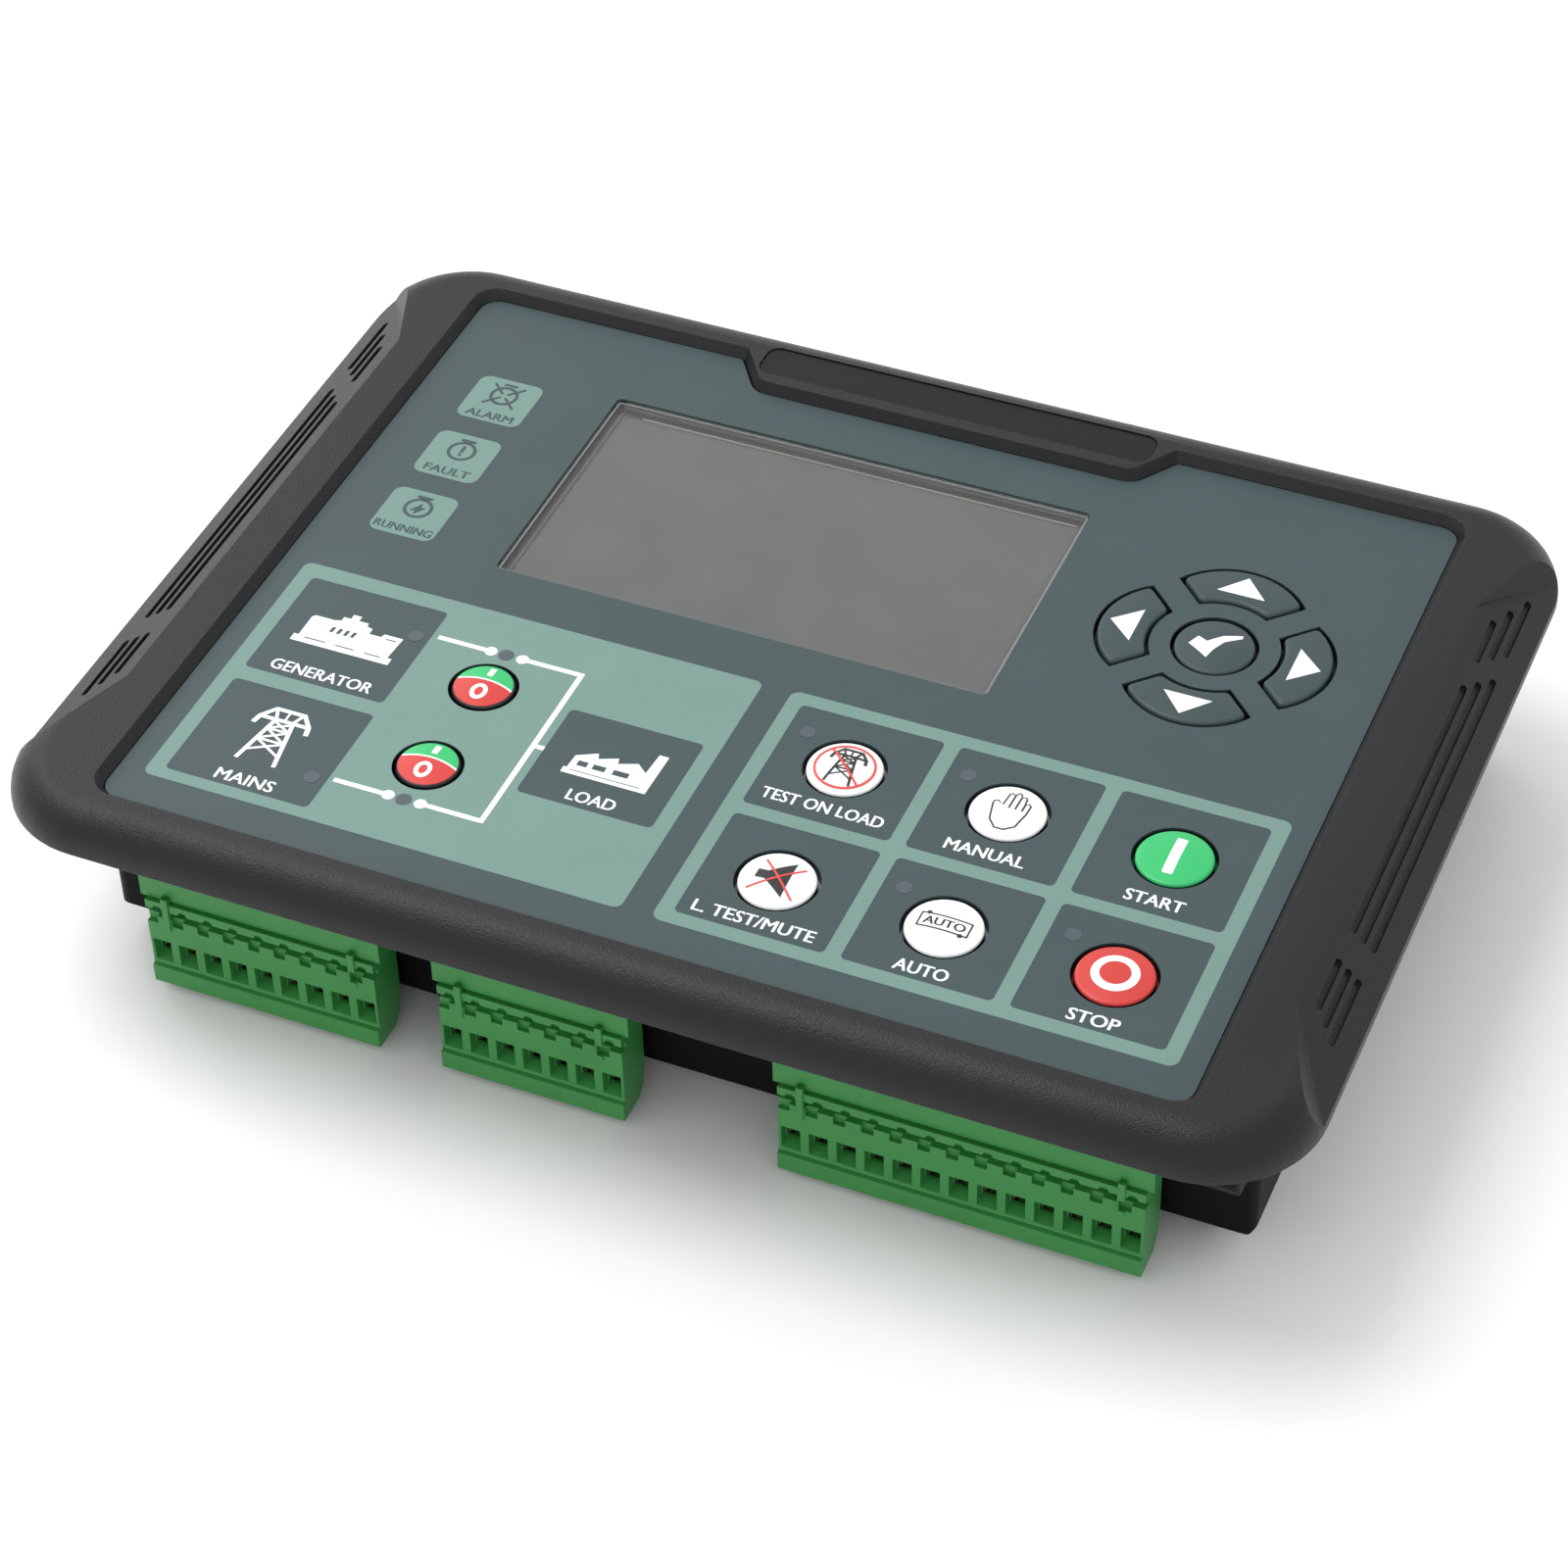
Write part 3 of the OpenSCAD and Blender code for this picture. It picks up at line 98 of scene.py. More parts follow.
def place(name, shell, finish, body, smooth_angle=SMOOTH_ANGLE):
    """Turns a bmesh into a finished piece that rides on a body."""
    mesh = bpy.data.meshes.new(name)
    shell.to_mesh(mesh)
    shell.free()
    mesh.materials.append(finish)
    for face in mesh.polygons:
        face.use_smooth = True
        face.material_index = 0
    mesh.set_sharp_from_angle(angle=math.radians(smooth_angle))
    piece = bpy.data.objects.new(name, mesh)
    bpy.context.scene.collection.objects.link(piece)
    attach(piece, body)
    return piece


def softened(node, finish, round_mm):
    """Copy of a CAD node with its edges rounded as a mould leaves them."""
    shell = bmesh.new()
    shell.from_mesh(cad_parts[node].data)
    bmesh.ops.remove_doubles(shell, verts=shell.verts, dist=MERGE)
    bmesh.ops.dissolve_limit(
        shell, angle_limit=math.radians(FLAT_ANGLE), use_dissolve_boundaries=False,
        verts=shell.verts, edges=shell.edges,
    )
    inner = [e for e in shell.edges if len(e.link_faces) == 2]
    edges = [e for e in inner if e.calc_face_angle() > math.radians(EDGE_ANGLE)]
    bmesh.ops.bevel(
        shell, geom=edges, offset=round_mm * MM, offset_type="OFFSET", segments=2, profile=0.5,
        affect="EDGES", clamp_overlap=False, material=-1, loop_slide=True,
    )
    piece = place(node + "_moulding", shell, finish, "case")
    even = piece.modifiers.new("even_shading", "WEIGHTED_NORMAL")
    even.keep_sharp = True
    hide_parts(node)
    return piece


charcoal = moulding(
    "charcoal_spark_texture", (0.0042, 0.0045, 0.0052), 0.38, 0.34, 0.13, specular=0.35,
)
bezel = softened("front_bezel", charcoal, 0.12)

# Face film: a slate polyester film, bonded into the recess of the bezel.
# Its openings let the keys and the display through.
def coat(node, finish):
    """Gives a CAD node its finish."""
    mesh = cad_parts[node].data
    mesh.materials.clear()
    mesh.materials.append(finish)


slate = moulding(
    "slate_film", (0.036, 0.061, 0.066), 0.42, 0.16, 0.006, mottle=0.03, specular=0.42,
)
coat("face_overlay", slate)

# Printing on the film: light green panels and lamp fields, white lines, pictograms and words.
# The inks are screen printed, so each is a thin plate of its own colour on the film.
FACE = 48.0
INK = 0.03
SUNK = 0.01
STEP = 0.2
STRIKE = 0.075
STRIKE_STEP = 0.3
CAPS = 2.7
LAMP_CAPS = 2.0


def arc(cx, cy, r, start, end, count):
    steps = [math.radians(start + (end - start) * i / count) for i in range(count + 1)]
    return [(cx + r * math.cos(a), cy + r * math.sin(a)) for a in steps]


def disc(cx, cy, r, count=40):
    return arc(cx, cy, r, 0, 360 - 360 / count, count - 1)


def round_rect(left, low, right, top, r):
    corners = [
        (right - r, top - r, 0), (left + r, top - r, 90),
        (left + r, low + r, 180), (right - r, low + r, 270),
    ]
    return [p for x, y, a in corners for p in arc(x, y, r, a, a + 90, 8)]


def bar(ax, ay, bx, by, w):
    along = Vector((bx - ax, by - ay)).normalized() * (w / 2)
    side = Vector((-along.y, along.x))
    return [
        (ax + side.x, ay + side.y), (bx + side.x, by + side.y),
        (bx - side.x, by - side.y), (ax - side.x, ay - side.y),
    ]


def moved(outline, dx, dy):
    return [(x + dx, y + dy) for x, y in outline]


def plate(outlines, low, high):
    """Flat plate in mm, nested outlines being holes."""
    flat = bpy.data.curves.new("outline", "CURVE")
    flat.dimensions = "2D"
    flat.fill_mode = "BOTH"
    flat.extrude = (high - low) / 2
    for outline in outlines:
        spline = flat.splines.new("POLY")
        spline.points.add(len(outline) - 1)
        for point, (x, y) in zip(spline.points, outline):
            point.co = (x, y, 0, 1)
        spline.use_cyclic_u = True
    return flat, (low + high) / 2


def lettering(words, cx, cy, width, height, low, high):
    """Words as a flat plate in mm, fitted to a width and a cap height."""
    flat = bpy.data.curves.new("words", "FONT")
    flat.body = words
    flat.align_x = "CENTER"
    flat.align_y = "CENTER"
    flat.extrude = 0.5
    flat.resolution_u = 3
    return flat, (cx, cy, width, height, low, high)


def pressed(shapes):
    """One closed mesh, in metres, from flat plates and words in mm."""
    shell = bmesh.new()
    for flat, where in shapes:
        holder = bpy.data.objects.new("flat", flat)
        mesh = bpy.data.meshes.new_from_object(holder)
        if flat.bl_rna.identifier == "TextCurve":
            cx, cy, width, height, low, high = where
            xs = [v.co.x for v in mesh.vertices]
            ys = [v.co.y for v in mesh.vertices]
            wide, tall = max(xs) - min(xs), max(ys) - min(ys)
            fit = Matrix.Diagonal((width / wide, height / tall, high - low, 1))
            middle = ((max(xs) + min(xs)) / 2, (max(ys) + min(ys)) / 2)
            to_middle = Matrix.Translation((-middle[0], -middle[1], 0))
            mesh.transform(Matrix.Translation((cx, cy, (low + high) / 2)) @ fit @ to_middle)
        else:
            mesh.transform(Matrix.Translation((0, 0, where)))
        mesh.transform(Matrix.Scale(MM, 4))
        shell.from_mesh(mesh)
        bpy.data.objects.remove(holder)
        bpy.data.meshes.remove(mesh)
    bmesh.ops.remove_doubles(shell, verts=shell.verts, dist=1e-7)
    return shell


def printed(name, shapes, ink, body="case"):
    piece = place(name, pressed(shapes), ink, body, smooth_angle=20)
    return piece


def on_film(outlines, layer=1):
    return plate(outlines, FACE - SUNK, FACE + INK * layer)


def stacked(outlines, lay, layer=1):
    """Lays outlines that cross each other at slightly different heights."""
    return [lay([o], layer + STEP * i) for i, o in enumerate(outlines)]


def word(words, cx, cy, width, height, layer=1):
    """Words struck twice, a little apart, for a bolder stroke."""
    return [
        lettering(
            words, cx + side * STRIKE, cy, width - 2 * STRIKE, height,
            FACE - SUNK, FACE + INK * (layer + STRIKE_STEP * side),
        )
        for side in (-1, 1)
    ]


pale_green = moulding("pale_green_ink", (0.138, 0.245, 0.212), 0.45, 0.16, 0.006, mottle=0.03)
white_ink = moulding("white_ink", (0.82, 0.86, 0.86), 0.45, 0.16, 0.006, mottle=0.02)
dark_ink = moulding("dark_slate_ink", (0.030, 0.054, 0.061), 0.45, 0.16, 0.006, mottle=0.03)
lens_ink = moulding("lamp_lens_ink", (0.060, 0.080, 0.098), 0.30, 0.16, 0.003, mottle=0.04)

BREAKER_HOLE_R = 6.36
EDGE_BAND = 2.9
INNER_BAND = 1.45
FIELD_CORNER = 1.0
breaker_places = {"generator": (-48.9, -27.85), "mains": (-48.9, -49.75)}
mimic_panel = [
    round_rect(-94.3, -69.7, -3.3, -8.4, 1.6),
    round_rect(-91.2, -38.3, -63.6, -12.0, FIELD_CORNER),
    round_rect(-91.2, -67.2, -63.4, -41.7, FIELD_CORNER),
    round_rect(-32.0, -50.0, -6.4, -27.3, FIELD_CORNER),
] + [disc(x, y, BREAKER_HOLE_R) for x, y in breaker_places.values()]
columns = (2.3, 33.7, 63.4, 94.5)
levels = (-69.7, -39.5, -8.4)
key_panel = [round_rect(columns[0], levels[0], columns[3], levels[2], 1.8)]
for i in range(3):
    for k in range(2):
        field_left = columns[i] + (EDGE_BAND if i == 0 else INNER_BAND)
        field_right = columns[i + 1] - (EDGE_BAND if i == 2 else INNER_BAND)
        field_low = levels[k] + (EDGE_BAND if k == 0 else INNER_BAND)
        field_top = levels[k + 1] - (EDGE_BAND if k == 1 else INNER_BAND)
        key_panel.append(round_rect(field_left, field_low, field_right, field_top, FIELD_CORNER))
LAMP_X = -82.3
LAMP_HALF = 6.6
lamp_rows = (47.8, 29.5, 11.2)
lamp_panels = [
    round_rect(LAMP_X - LAMP_HALF, y - LAMP_HALF, LAMP_X + LAMP_HALF, y + LAMP_HALF, 2.0)
    for y in lamp_rows
]
green_shapes = [on_film(mimic_panel), on_film(key_panel), on_film(lamp_panels)]
printed("print_pale_green", green_shapes, pale_green)

LENS_R = 1.45
lens_places = [
    (8.9, -17.6), (38.9, -17.6), (38.9, -47.4), (68.9, -47.4),
    (-48.9, -18.6), (-48.9, -59.1), (-66.3, -19.8), (-66.3, -59.9),
]
lens_shapes = [on_film([disc(x, y, LENS_R, 24)], 2) for x, y in lens_places]
printed("print_lamp_lenses", lens_shapes, lens_ink)

LINE_W = 1.0
CONTACT_R = 1.15
UPPER_LINE = -18.6
LOWER_LINE = -59.1
BUS_X = -34.1
SOURCE_X = -62.4
contacts = (-51.9, -45.7)
mimic = [
    bar(SOURCE_X, UPPER_LINE, contacts[0], UPPER_LINE, LINE_W),
    disc(contacts[0], UPPER_LINE, CONTACT_R, 24),
    disc(contacts[1], UPPER_LINE, CONTACT_R, 24),
    bar(contacts[1], UPPER_LINE, BUS_X + LINE_W / 2, UPPER_LINE, LINE_W),
    bar(BUS_X, UPPER_LINE, BUS_X, LOWER_LINE - LINE_W / 2, LINE_W),
    bar(BUS_X, -38.5, -32.0, -38.5, LINE_W),
    bar(BUS_X + LINE_W / 2, LOWER_LINE, contacts[1], LOWER_LINE, LINE_W),
    disc(contacts[1], LOWER_LINE, CONTACT_R, 24),
    disc(contacts[0], LOWER_LINE, CONTACT_R, 24),
    bar(contacts[0], LOWER_LINE, SOURCE_X, LOWER_LINE, LINE_W),
]
mimic_shapes = stacked(mimic, on_film, 2)

engine = [
    (-9.8, -4.9), (9.8, -4.9), (9.8, -3.2), (8.9, -3.2), (9.3, 2.4), (5.6, 2.4), (5.3, 1.5),
    (2.9, 1.5), (2.9, 2.9), (1.6, 3.2), (1.6, 4.0), (-0.4, 4.0), (-0.4, 5.2), (-2.0, 5.2),
    (-2.0, 4.0), (-3.4, 4.0), (-3.4, 3.0), (-4.6, 2.6), (-8.4, 2.6), (-8.9, 2.0),
    (-8.9, -3.2), (-9.8, -3.2),
]
vents = [
    [(x, -0.6), (x + 0.7, -0.6), (x + 0.9, 0.9), (x + 0.2, 0.9)] for x in (-4.2, -2.8, -1.4, 0.0)
]
gaps = [
    bar(-7.6, -3.5, -3.4, -3.5, 0.3), bar(-1.4, -3.5, 2.4, -3.5, 0.3),
    bar(4.4, -3.5, 7.6, -3.5, 0.3), bar(6.4, 1.3, 8.4, 1.3, 0.3),
]
icon_shapes = [on_film([moved(o, -77.3, -23.9) for o in [engine] + vents + gaps])]

pylon = [
    bar(-3.7, -7.0, -1.7, 4.2, 0.8), bar(3.7, -7.0, 1.7, 4.2, 0.8),
    bar(-3.2, -4.5, 2.6, -1.2, 0.5), bar(3.2, -4.5, -2.6, -1.2, 0.5),
    bar(-2.7, -1.2, 2.1, 1.7, 0.5), bar(2.7, -1.2, -2.1, 1.7, 0.5),
    bar(-2.2, 1.7, 1.9, 3.9, 0.5), bar(2.2, 1.7, -1.9, 3.9, 0.5),
    bar(-2.8, -1.2, 2.8, -1.2, 0.5), bar(-2.3, 1.7, 2.3, 1.7, 0.5),
    bar(-5.0, 4.2, 5.0, 4.2, 0.8), bar(-4.9, 4.1, -2.6, 7.0, 0.8),
    bar(4.9, 4.1, 2.6, 7.0, 0.8), bar(-2.9, 6.8, 2.9, 6.8, 0.8),
    bar(-2.6, 6.8, -1.6, 4.2, 0.6), bar(2.6, 6.8, 1.6, 4.2, 0.6),
    bar(-4.7, 4.4, -5.2, 2.2, 0.9), bar(4.7, 4.4, 5.2, 2.2, 0.9),
    bar(0.0, 6.8, 0.0, 4.2, 0.4),
]
icon_shapes += stacked([moved(o, -77.4, -53.2) for o in pylon], on_film)

works = [
    (-8.0, -4.0), (8.0, -4.0), (8.2, 6.0), (6.4, 6.0), (6.0, 0.9), (4.4, 2.2), (3.9, 2.6),
    (0.6, 1.3), (0.2, 2.6), (-3.1, 1.2), (-3.6, 2.5), (-7.2, 0.6), (-7.4, -2.6), (-8.0, -2.6),
]
windows = [
    [(x, -1.6), (x + w, -1.6), (x + w, -0.3), (x, -0.3)]
    for x, w in ((-6.1, 1.9), (-3.2, 2.4), (0.6, 3.0))
]
ground = [bar(-6.8, -3.0, 6.6, -3.0, 0.22)]
icon_shapes += [on_film([moved(o, -19.0, -38.6) for o in [works] + windows + ground])]

labels = [
    ("GENERATOR", -77.1, -35.6, 20.0, CAPS), ("MAINS", -76.7, -64.8, 11.3, CAPS),
    ("LOAD", -18.9, -47.3, 9.1, CAPS), ("TEST ON LOAD", 18.6, -34.3, 22.5, CAPS),
    ("MANUAL", 48.4, -34.6, 14.4, CAPS), ("START", 78.7, -34.9, 10.5, CAPS),
    ("L. TEST/MUTE", 18.6, -64.0, 22.0, CAPS), ("AUTO", 48.6, -64.3, 9.6, CAPS),
    ("STOP", 78.6, -64.5, 9.0, CAPS),
]
label_shapes = [w for label in labels for w in word(*label)]
printed("print_white", mimic_shapes + icon_shapes + label_shapes, white_ink)

MARK_RISE = 1.7
lamp_marks = [
    on_film([disc(LAMP_X, y + MARK_RISE, 2.85), disc(LAMP_X, y + MARK_RISE, 2.2)], 2)
    for y in lamp_rows
]
alarm = [bar(-1.4, 5.1, 1.4, 5.1, 0.55)]
alarm += [
    bar(dx * 0.5, MARK_RISE + dy * 0.5, dx * 3.2, MARK_RISE + dy * 3.2, 0.5)
    for dx in (-1, 1) for dy in (-1, 1)
]
filler_cap = [bar(-1.5, 4.9, 1.5, 4.9, 0.6), bar(0.0, 4.3, 0.0, 5.1, 1.6)]
fault = [bar(0.0, 1.4, 0.0, 3.2, 0.55), disc(0.0, 0.7, 0.32, 16)]
running = [[(-1.2, 0.7), (0.3, 3.1), (0.4, 1.9), (1.3, 2.1), (-0.2, 0.0), (-0.3, 1.1)]]
lamp_drawings = [
    (alarm, lamp_rows[0]), (filler_cap, lamp_rows[1]), (filler_cap, lamp_rows[2]),
    (fault, lamp_rows[1]), (running, lamp_rows[2]),
]
lamp_strokes = [moved(o, LAMP_X, y) for drawing, y in lamp_drawings for o in drawing]
lamp_marks += stacked(lamp_strokes, on_film, 2.2)
lamp_labels = [
    ("ALARM", LAMP_X, 43.1, 9.8, LAMP_CAPS), ("FAULT", LAMP_X, 24.9, 9.4, LAMP_CAPS),
    ("RUNNING", LAMP_X, 6.7, 11.8, LAMP_CAPS),
]
for label in lamp_labels:
    lamp_marks += word(*label, layer=2)
printed("print_dark", lamp_marks, dark_ink)

# Name plate: a dark satin plate, bonded into the recess on the raised tongue.
# It is left bare, without a name.
bare_plate = moulding(
    "dark_satin_plate", (0.005, 0.0055, 0.006), 0.38, 0.20, 0.006, specular=0.22,
)
coat("nameplate", bare_plate)

# Display: a clear acrylic pane under the edge of the film, over a grey liquid crystal glass.
# A white diffuser behind the glass spreads the light of the lamps at its edge.
pane_finish = bpy.data.materials.new("clear_acrylic")
pane_finish.use_nodes = True
pane_shader = pane_finish.node_tree.nodes["Principled BSDF"]
pane_shader.inputs["Base Color"].default_value = (0.93, 0.94, 0.93, 1)
pane_shader.inputs["Roughness"].default_value = 0.04
pane_shader.inputs["IOR"].default_value = 1.49
pane_shader.inputs["Transmission Weight"].default_value = 1.0
crystal = moulding(
    "liquid_crystal_grey", (0.104, 0.108, 0.110), 0.22, 1.5, 0.0002, mottle=0.10,
)
diffuser = moulding("white_diffuser", (0.75, 0.75, 0.72), 0.5, 0.3, 0.004)
coat("display_window", pane_finish)
coat("lcd_panel", crystal)
coat("lcd_backlight", diffuser)

# Display frame: a folded sheet that stands a hair below the pane, so that no two faces coincide.
# A light strip along its far fold is a painted highlight, and a pale ring on the pane just inside
# the film's opening is a painted highlight along the opening's edge.
PANE_TOP = 47.4
PANE_LOW = 45.0
GLASS_TOP = 44.6
SHEET_DROP = 0.06
FILM_LAP = 0.5
FRAME_LIP = 2.0
PANE_CORNER = 1.2
brown_grey = moulding("brown_grey_sheet", (0.100, 0.094, 0.088), 0.35, 0.4, 0.003)
folded = bmesh.new()
folded.from_mesh(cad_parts["lcd_frame"].data)
bmesh.ops.remove_doubles(folded, verts=folded.verts, dist=MERGE)
lip_top = [v for v in folded.verts if v.co.z > (PANE_LOW - SHEET_DROP) * MM]
bmesh.ops.translate(folded, verts=lip_top, vec=(0, 0, -SHEET_DROP * MM))
frame_sheet = place("lcd_frame_sheet", folded, brown_grey, "case")
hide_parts("lcd_frame")

pane_points = [v.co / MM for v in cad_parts["display_window"].data.vertices]
pane_left = min(v.x for v in pane_points) + FILM_LAP
pane_right = max(v.x for v in pane_points) - FILM_LAP
pane_low = min(v.y for v in pane_points) + FILM_LAP
pane_high = max(v.y for v in pane_points) - FILM_LAP


def pane_outline(inset):
    return round_rect(
        pane_left + inset, pane_low + inset, pane_right - inset, pane_high - inset,
        PANE_CORNER - inset,
    )


# Painted highlight: a pale thin ring on the pane just inside the film's opening stands for light
# caught at the opening's edge.
painted_rim_highlight = moulding("painted_pane_edge_highlight", (0.22, 0.25, 0.25), 0.30, 0.3, 0.002)
highlight_rim_strip = plate([pane_outline(0.40), pane_outline(0.68)], PANE_TOP - SUNK, PANE_TOP + INK)
printed("pane_edge_painted_highlight", [highlight_rim_strip], painted_rim_highlight)
# Painted highlight: a light strip laid along the far fold of the frame only stands for light
# caught on that edge.
painted_fold_highlight = moulding("painted_fold_highlight_ink", (0.40, 0.38, 0.35), 0.30, 0.3, 0.002)
fold_y = pane_high - FRAME_LIP
fold = round_rect(
    pane_left + 3 * FRAME_LIP, fold_y - 0.32, pane_right - FRAME_LIP, fold_y - 0.02, 0.05,
)
fold_shell = pressed([plate([fold], GLASS_TOP - SUNK, GLASS_TOP + 0.3)])
place("display_frame_painted_highlight", fold_shell, painted_fold_highlight, "case")

# Control keys: six crowned caps, moulded in white, green and red with printed marks.
# Each drops into its opening from behind, is kept in by its flange and rests on the mat.
# Black sleeves line the side of each round cap below its rim. They are painted shade, darkening
# the gap round the cap where shade falls.
KEY_R = 6.75
CROWN = 31.0
KEY_TOP = 48.75
KEY_RIM = 0.55
FLANGE_TOP = 44.8
FLANGE = 43.8
FLANGE_OUT = 1.5
STEM = 43.0
STEM_R = 2.0
MARK_SUNK = 0.06
MARK_GRID = 0.7


def crown_drop(r):
    return CROWN - math.sqrt(CROWN ** 2 - r ** 2)


painted_gap_shade = moulding(
    "painted_key_gap_shade", (0.006, 0.006, 0.007), 0.50, 0.3, 0.004, specular=0.2,
)


def round_cap(name, at, r, finish):
    """Revolved key cap with a soft rim, a flange and a stem."""
    inner_r = r - KEY_RIM
    rim_z = KEY_TOP - crown_drop(inner_r) - KEY_RIM
    radii = [r * i / 8 for i in range(8)]
    profile = [(x, KEY_TOP - crown_drop(x)) for x in radii if x < inner_r - 0.2]
    for a in (8, 30, 50, 70, 90):
        bend = math.radians(a)
        profile.append((inner_r + KEY_RIM * math.sin(bend), rim_z + KEY_RIM * math.cos(bend)))
    grown = r + FLANGE_OUT
    profile += [
        (r, FLANGE_TOP), (grown, FLANGE_TOP), (grown, FLANGE),
        (STEM_R, FLANGE), (STEM_R, STEM), (0, STEM),
    ]
    cap = bmesh.new()
    verts = [cap.verts.new(((at[0] + x) * MM, at[1] * MM, z * MM)) for x, z in profile]
    edges = [cap.edges.new(pair) for pair in zip(verts, verts[1:])]
    bmesh.ops.spin(
        cap, geom=verts + edges, cent=(at[0] * MM, at[1] * MM, 0), axis=(0, 0, 1),
        angle=2 * math.pi, steps=64, use_merge=True,
    )
    bmesh.ops.remove_doubles(cap, verts=cap.verts, dist=1e-6)
    bmesh.ops.recalc_face_normals(cap, faces=cap.faces)
    piece = place(name + "_cap", cap, finish, name)
    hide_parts(name)
    # Painted shade: a thin black sleeve round the cap below its rim stands for the shade in the
    # gap between the cap and the film.
    sleeve = [moved(disc(0, 0, r + 0.03, 64), *at), moved(disc(0, 0, r - 0.05, 64), *at)]
    gap_shade_shell = pressed([plate(sleeve, FLANGE_TOP, rim_z)])
    place(name + "_skirt", gap_shade_shell, painted_gap_shade, name)
    return piece


def crown_mark(name, shapes, at, ink, body):
    """Printed mark bent onto the crown of a key."""
    shell = pressed(shapes)
    middle = Vector((at[0], at[1], 0)) * MM
    for axis in (Vector((1, 0, 0)), Vector((0, 1, 0))):
        for i in range(-9, 10):
            bmesh.ops.bisect_plane(
                shell, geom=shell.verts[:] + shell.edges[:] + shell.faces[:],
                plane_co=middle + axis * (i * MARK_GRID * MM), plane_no=axis, dist=1e-7,
            )
    for vert in shell.verts:
        r = math.hypot(vert.co.x / MM - at[0], vert.co.y / MM - at[1])
        vert.co.z -= crown_drop(r) * MM
    place(name, shell, ink, body, smooth_angle=30)


def on_key(outlines, at, layer=1, top=KEY_TOP):
    return plate([moved(o, *at) for o in outlines], top - MARK_SUNK, top + INK * layer)


white_cap = moulding("white_key_moulding", (0.80, 0.82, 0.82), 0.38, 0.3, 0.004, mottle=0.02)
green_cap = moulding("green_key_moulding", (0.022, 0.45, 0.130), 0.36, 0.3, 0.004, mottle=0.03)
red_cap = moulding("red_key_moulding", (0.56, 0.034, 0.027), 0.36, 0.3, 0.004, mottle=0.03)
black_ink = moulding("black_ink", (0.012, 0.012, 0.013), 0.40, 0.16, 0.004)
red_ink = moulding("red_ink", (0.66, 0.060, 0.050), 0.40, 0.16, 0.004)
key_places = {
    "key_test": (18.5, -23.9), "key_manual": (48.5, -23.9), "key_start": (78.5, -23.9),
    "key_mute": (18.5, -53.7), "key_auto": (48.5, -53.7), "key_stop": (78.5, -53.7),
}
cap_finish = {"key_start": (green_cap, "key_green"), "key_stop": (red_cap, "key_red")}
for key, at in key_places.items():
    finish, slot_name = cap_finish.get(key, (white_cap, "key_white"))
    round_cap(key, at, KEY_R, finish)

at = key_places["key_start"]
stroke = on_key([round_rect(-0.95, -4.4, 0.95, 4.4, 0.3)], at)
crown_mark("mark_start", [stroke], at, white_ink, "key_start")
at = key_places["key_stop"]
stop_ring = on_key([disc(0, 0, 4.1, 48), disc(0, 0, 2.65, 48)], at)
crown_mark("mark_stop", [stop_ring], at, white_ink, "key_stop")

HAND_LINE = 0.32
at = key_places["key_manual"]
hand = [
    (-0.9, -4.7), (0.9, -4.7), (2.6, -3.4), (3.4, 0.0), (3.5, 2.4), (2.9, 2.9), (2.4, 2.4),
    (2.3, 3.9), (1.75, 4.4), (1.2, 3.9), (1.1, 4.6), (0.55, 5.1), (0.0, 4.6), (-0.1, 4.1),
    (-0.65, 4.6), (-1.2, 4.1), (-1.4, 1.0), (-2.3, 1.9), (-3.1, 1.6), (-3.2, 0.9), (-2.4, -3.0),
]
inner_hand = []
for i, (x, y) in enumerate(hand):
    before, after = Vector(hand[i - 1]), Vector(hand[(i + 1) % len(hand)])
    along = (after - before).normalized()
    inner_hand.append((x - along.y * HAND_LINE, y + along.x * HAND_LINE))
finger_lines = ((2.3, 2.6), (1.1, 4.0), (-0.05, 4.1))
fingers = [bar(x, 0.5, x + 0.05, tip_y, 0.34) for x, tip_y in finger_lines]
hand_shapes = [on_key([hand, inner_hand], at)] + [on_key([f], at, 1.3) for f in fingers]
crown_mark("mark_hand", hand_shapes, at, black_ink, "key_manual")

at = key_places["key_auto"]
sign_edge = [round_rect(-4.6, -1.5, 4.6, 2.0, 0.2), round_rect(-4.3, -1.2, 4.3, 1.7, 0.15)]
auto_word = [
    lettering(
        "AUTO", at[0] + side * 0.07, at[1] + 0.25, 7.3, 1.8,
        KEY_TOP - MARK_SUNK, KEY_TOP + INK * (1 + STRIKE_STEP * side),
    )
    for side in (-1, 1)
]
tips = [disc(-3.3, 2.0, 0.45, 16), disc(3.3, -1.5, 0.45, 16)]
auto_shapes = [on_key(sign_edge, at)] + auto_word + [on_key([t], at, 1.5) for t in tips]
crown_mark("mark_auto", auto_shapes, at, black_ink, "key_auto")

at = key_places["key_mute"]
speaker = [(-3.8, -0.9), (-3.8, 1.1), (-2.0, 1.1), (2.0, 4.5), (2.2, -4.0), (-2.0, -0.9)]
crown_mark("mark_speaker", [on_key([speaker], at)], at, black_ink, "key_mute")
cross = [bar(-4.2, -3.7, 3.9, 3.6, 0.38), bar(-3.4, 3.7, 4.1, -3.9, 0.38)]
cross_shapes = [on_key([s], at, 3 + 0.3 * i) for i, s in enumerate(cross)]
crown_mark("mark_mute_cross", cross_shapes, at, red_ink, "key_mute")

MAST_SCALE = 0.62
at = key_places["key_test"]
mast = [[(x * MAST_SCALE, y * MAST_SCALE) for x, y in o] for o in pylon]
mast_shapes = stacked([moved(m, *at) for m in mast], lambda o, layer: on_key(o, (0, 0), layer))
crown_mark("mark_mast", mast_shapes, at, black_ink, "key_test")
ban_shapes = [
    on_key([disc(0, 0, 5.5, 48), disc(0, 0, 5.1, 48)], at, 5.4),
    on_key([bar(-3.8, 3.8, 3.8, -3.8, 0.4)], at, 5.8),
]
crown_mark("mark_ban", ban_shapes, at, red_ink, "key_test")

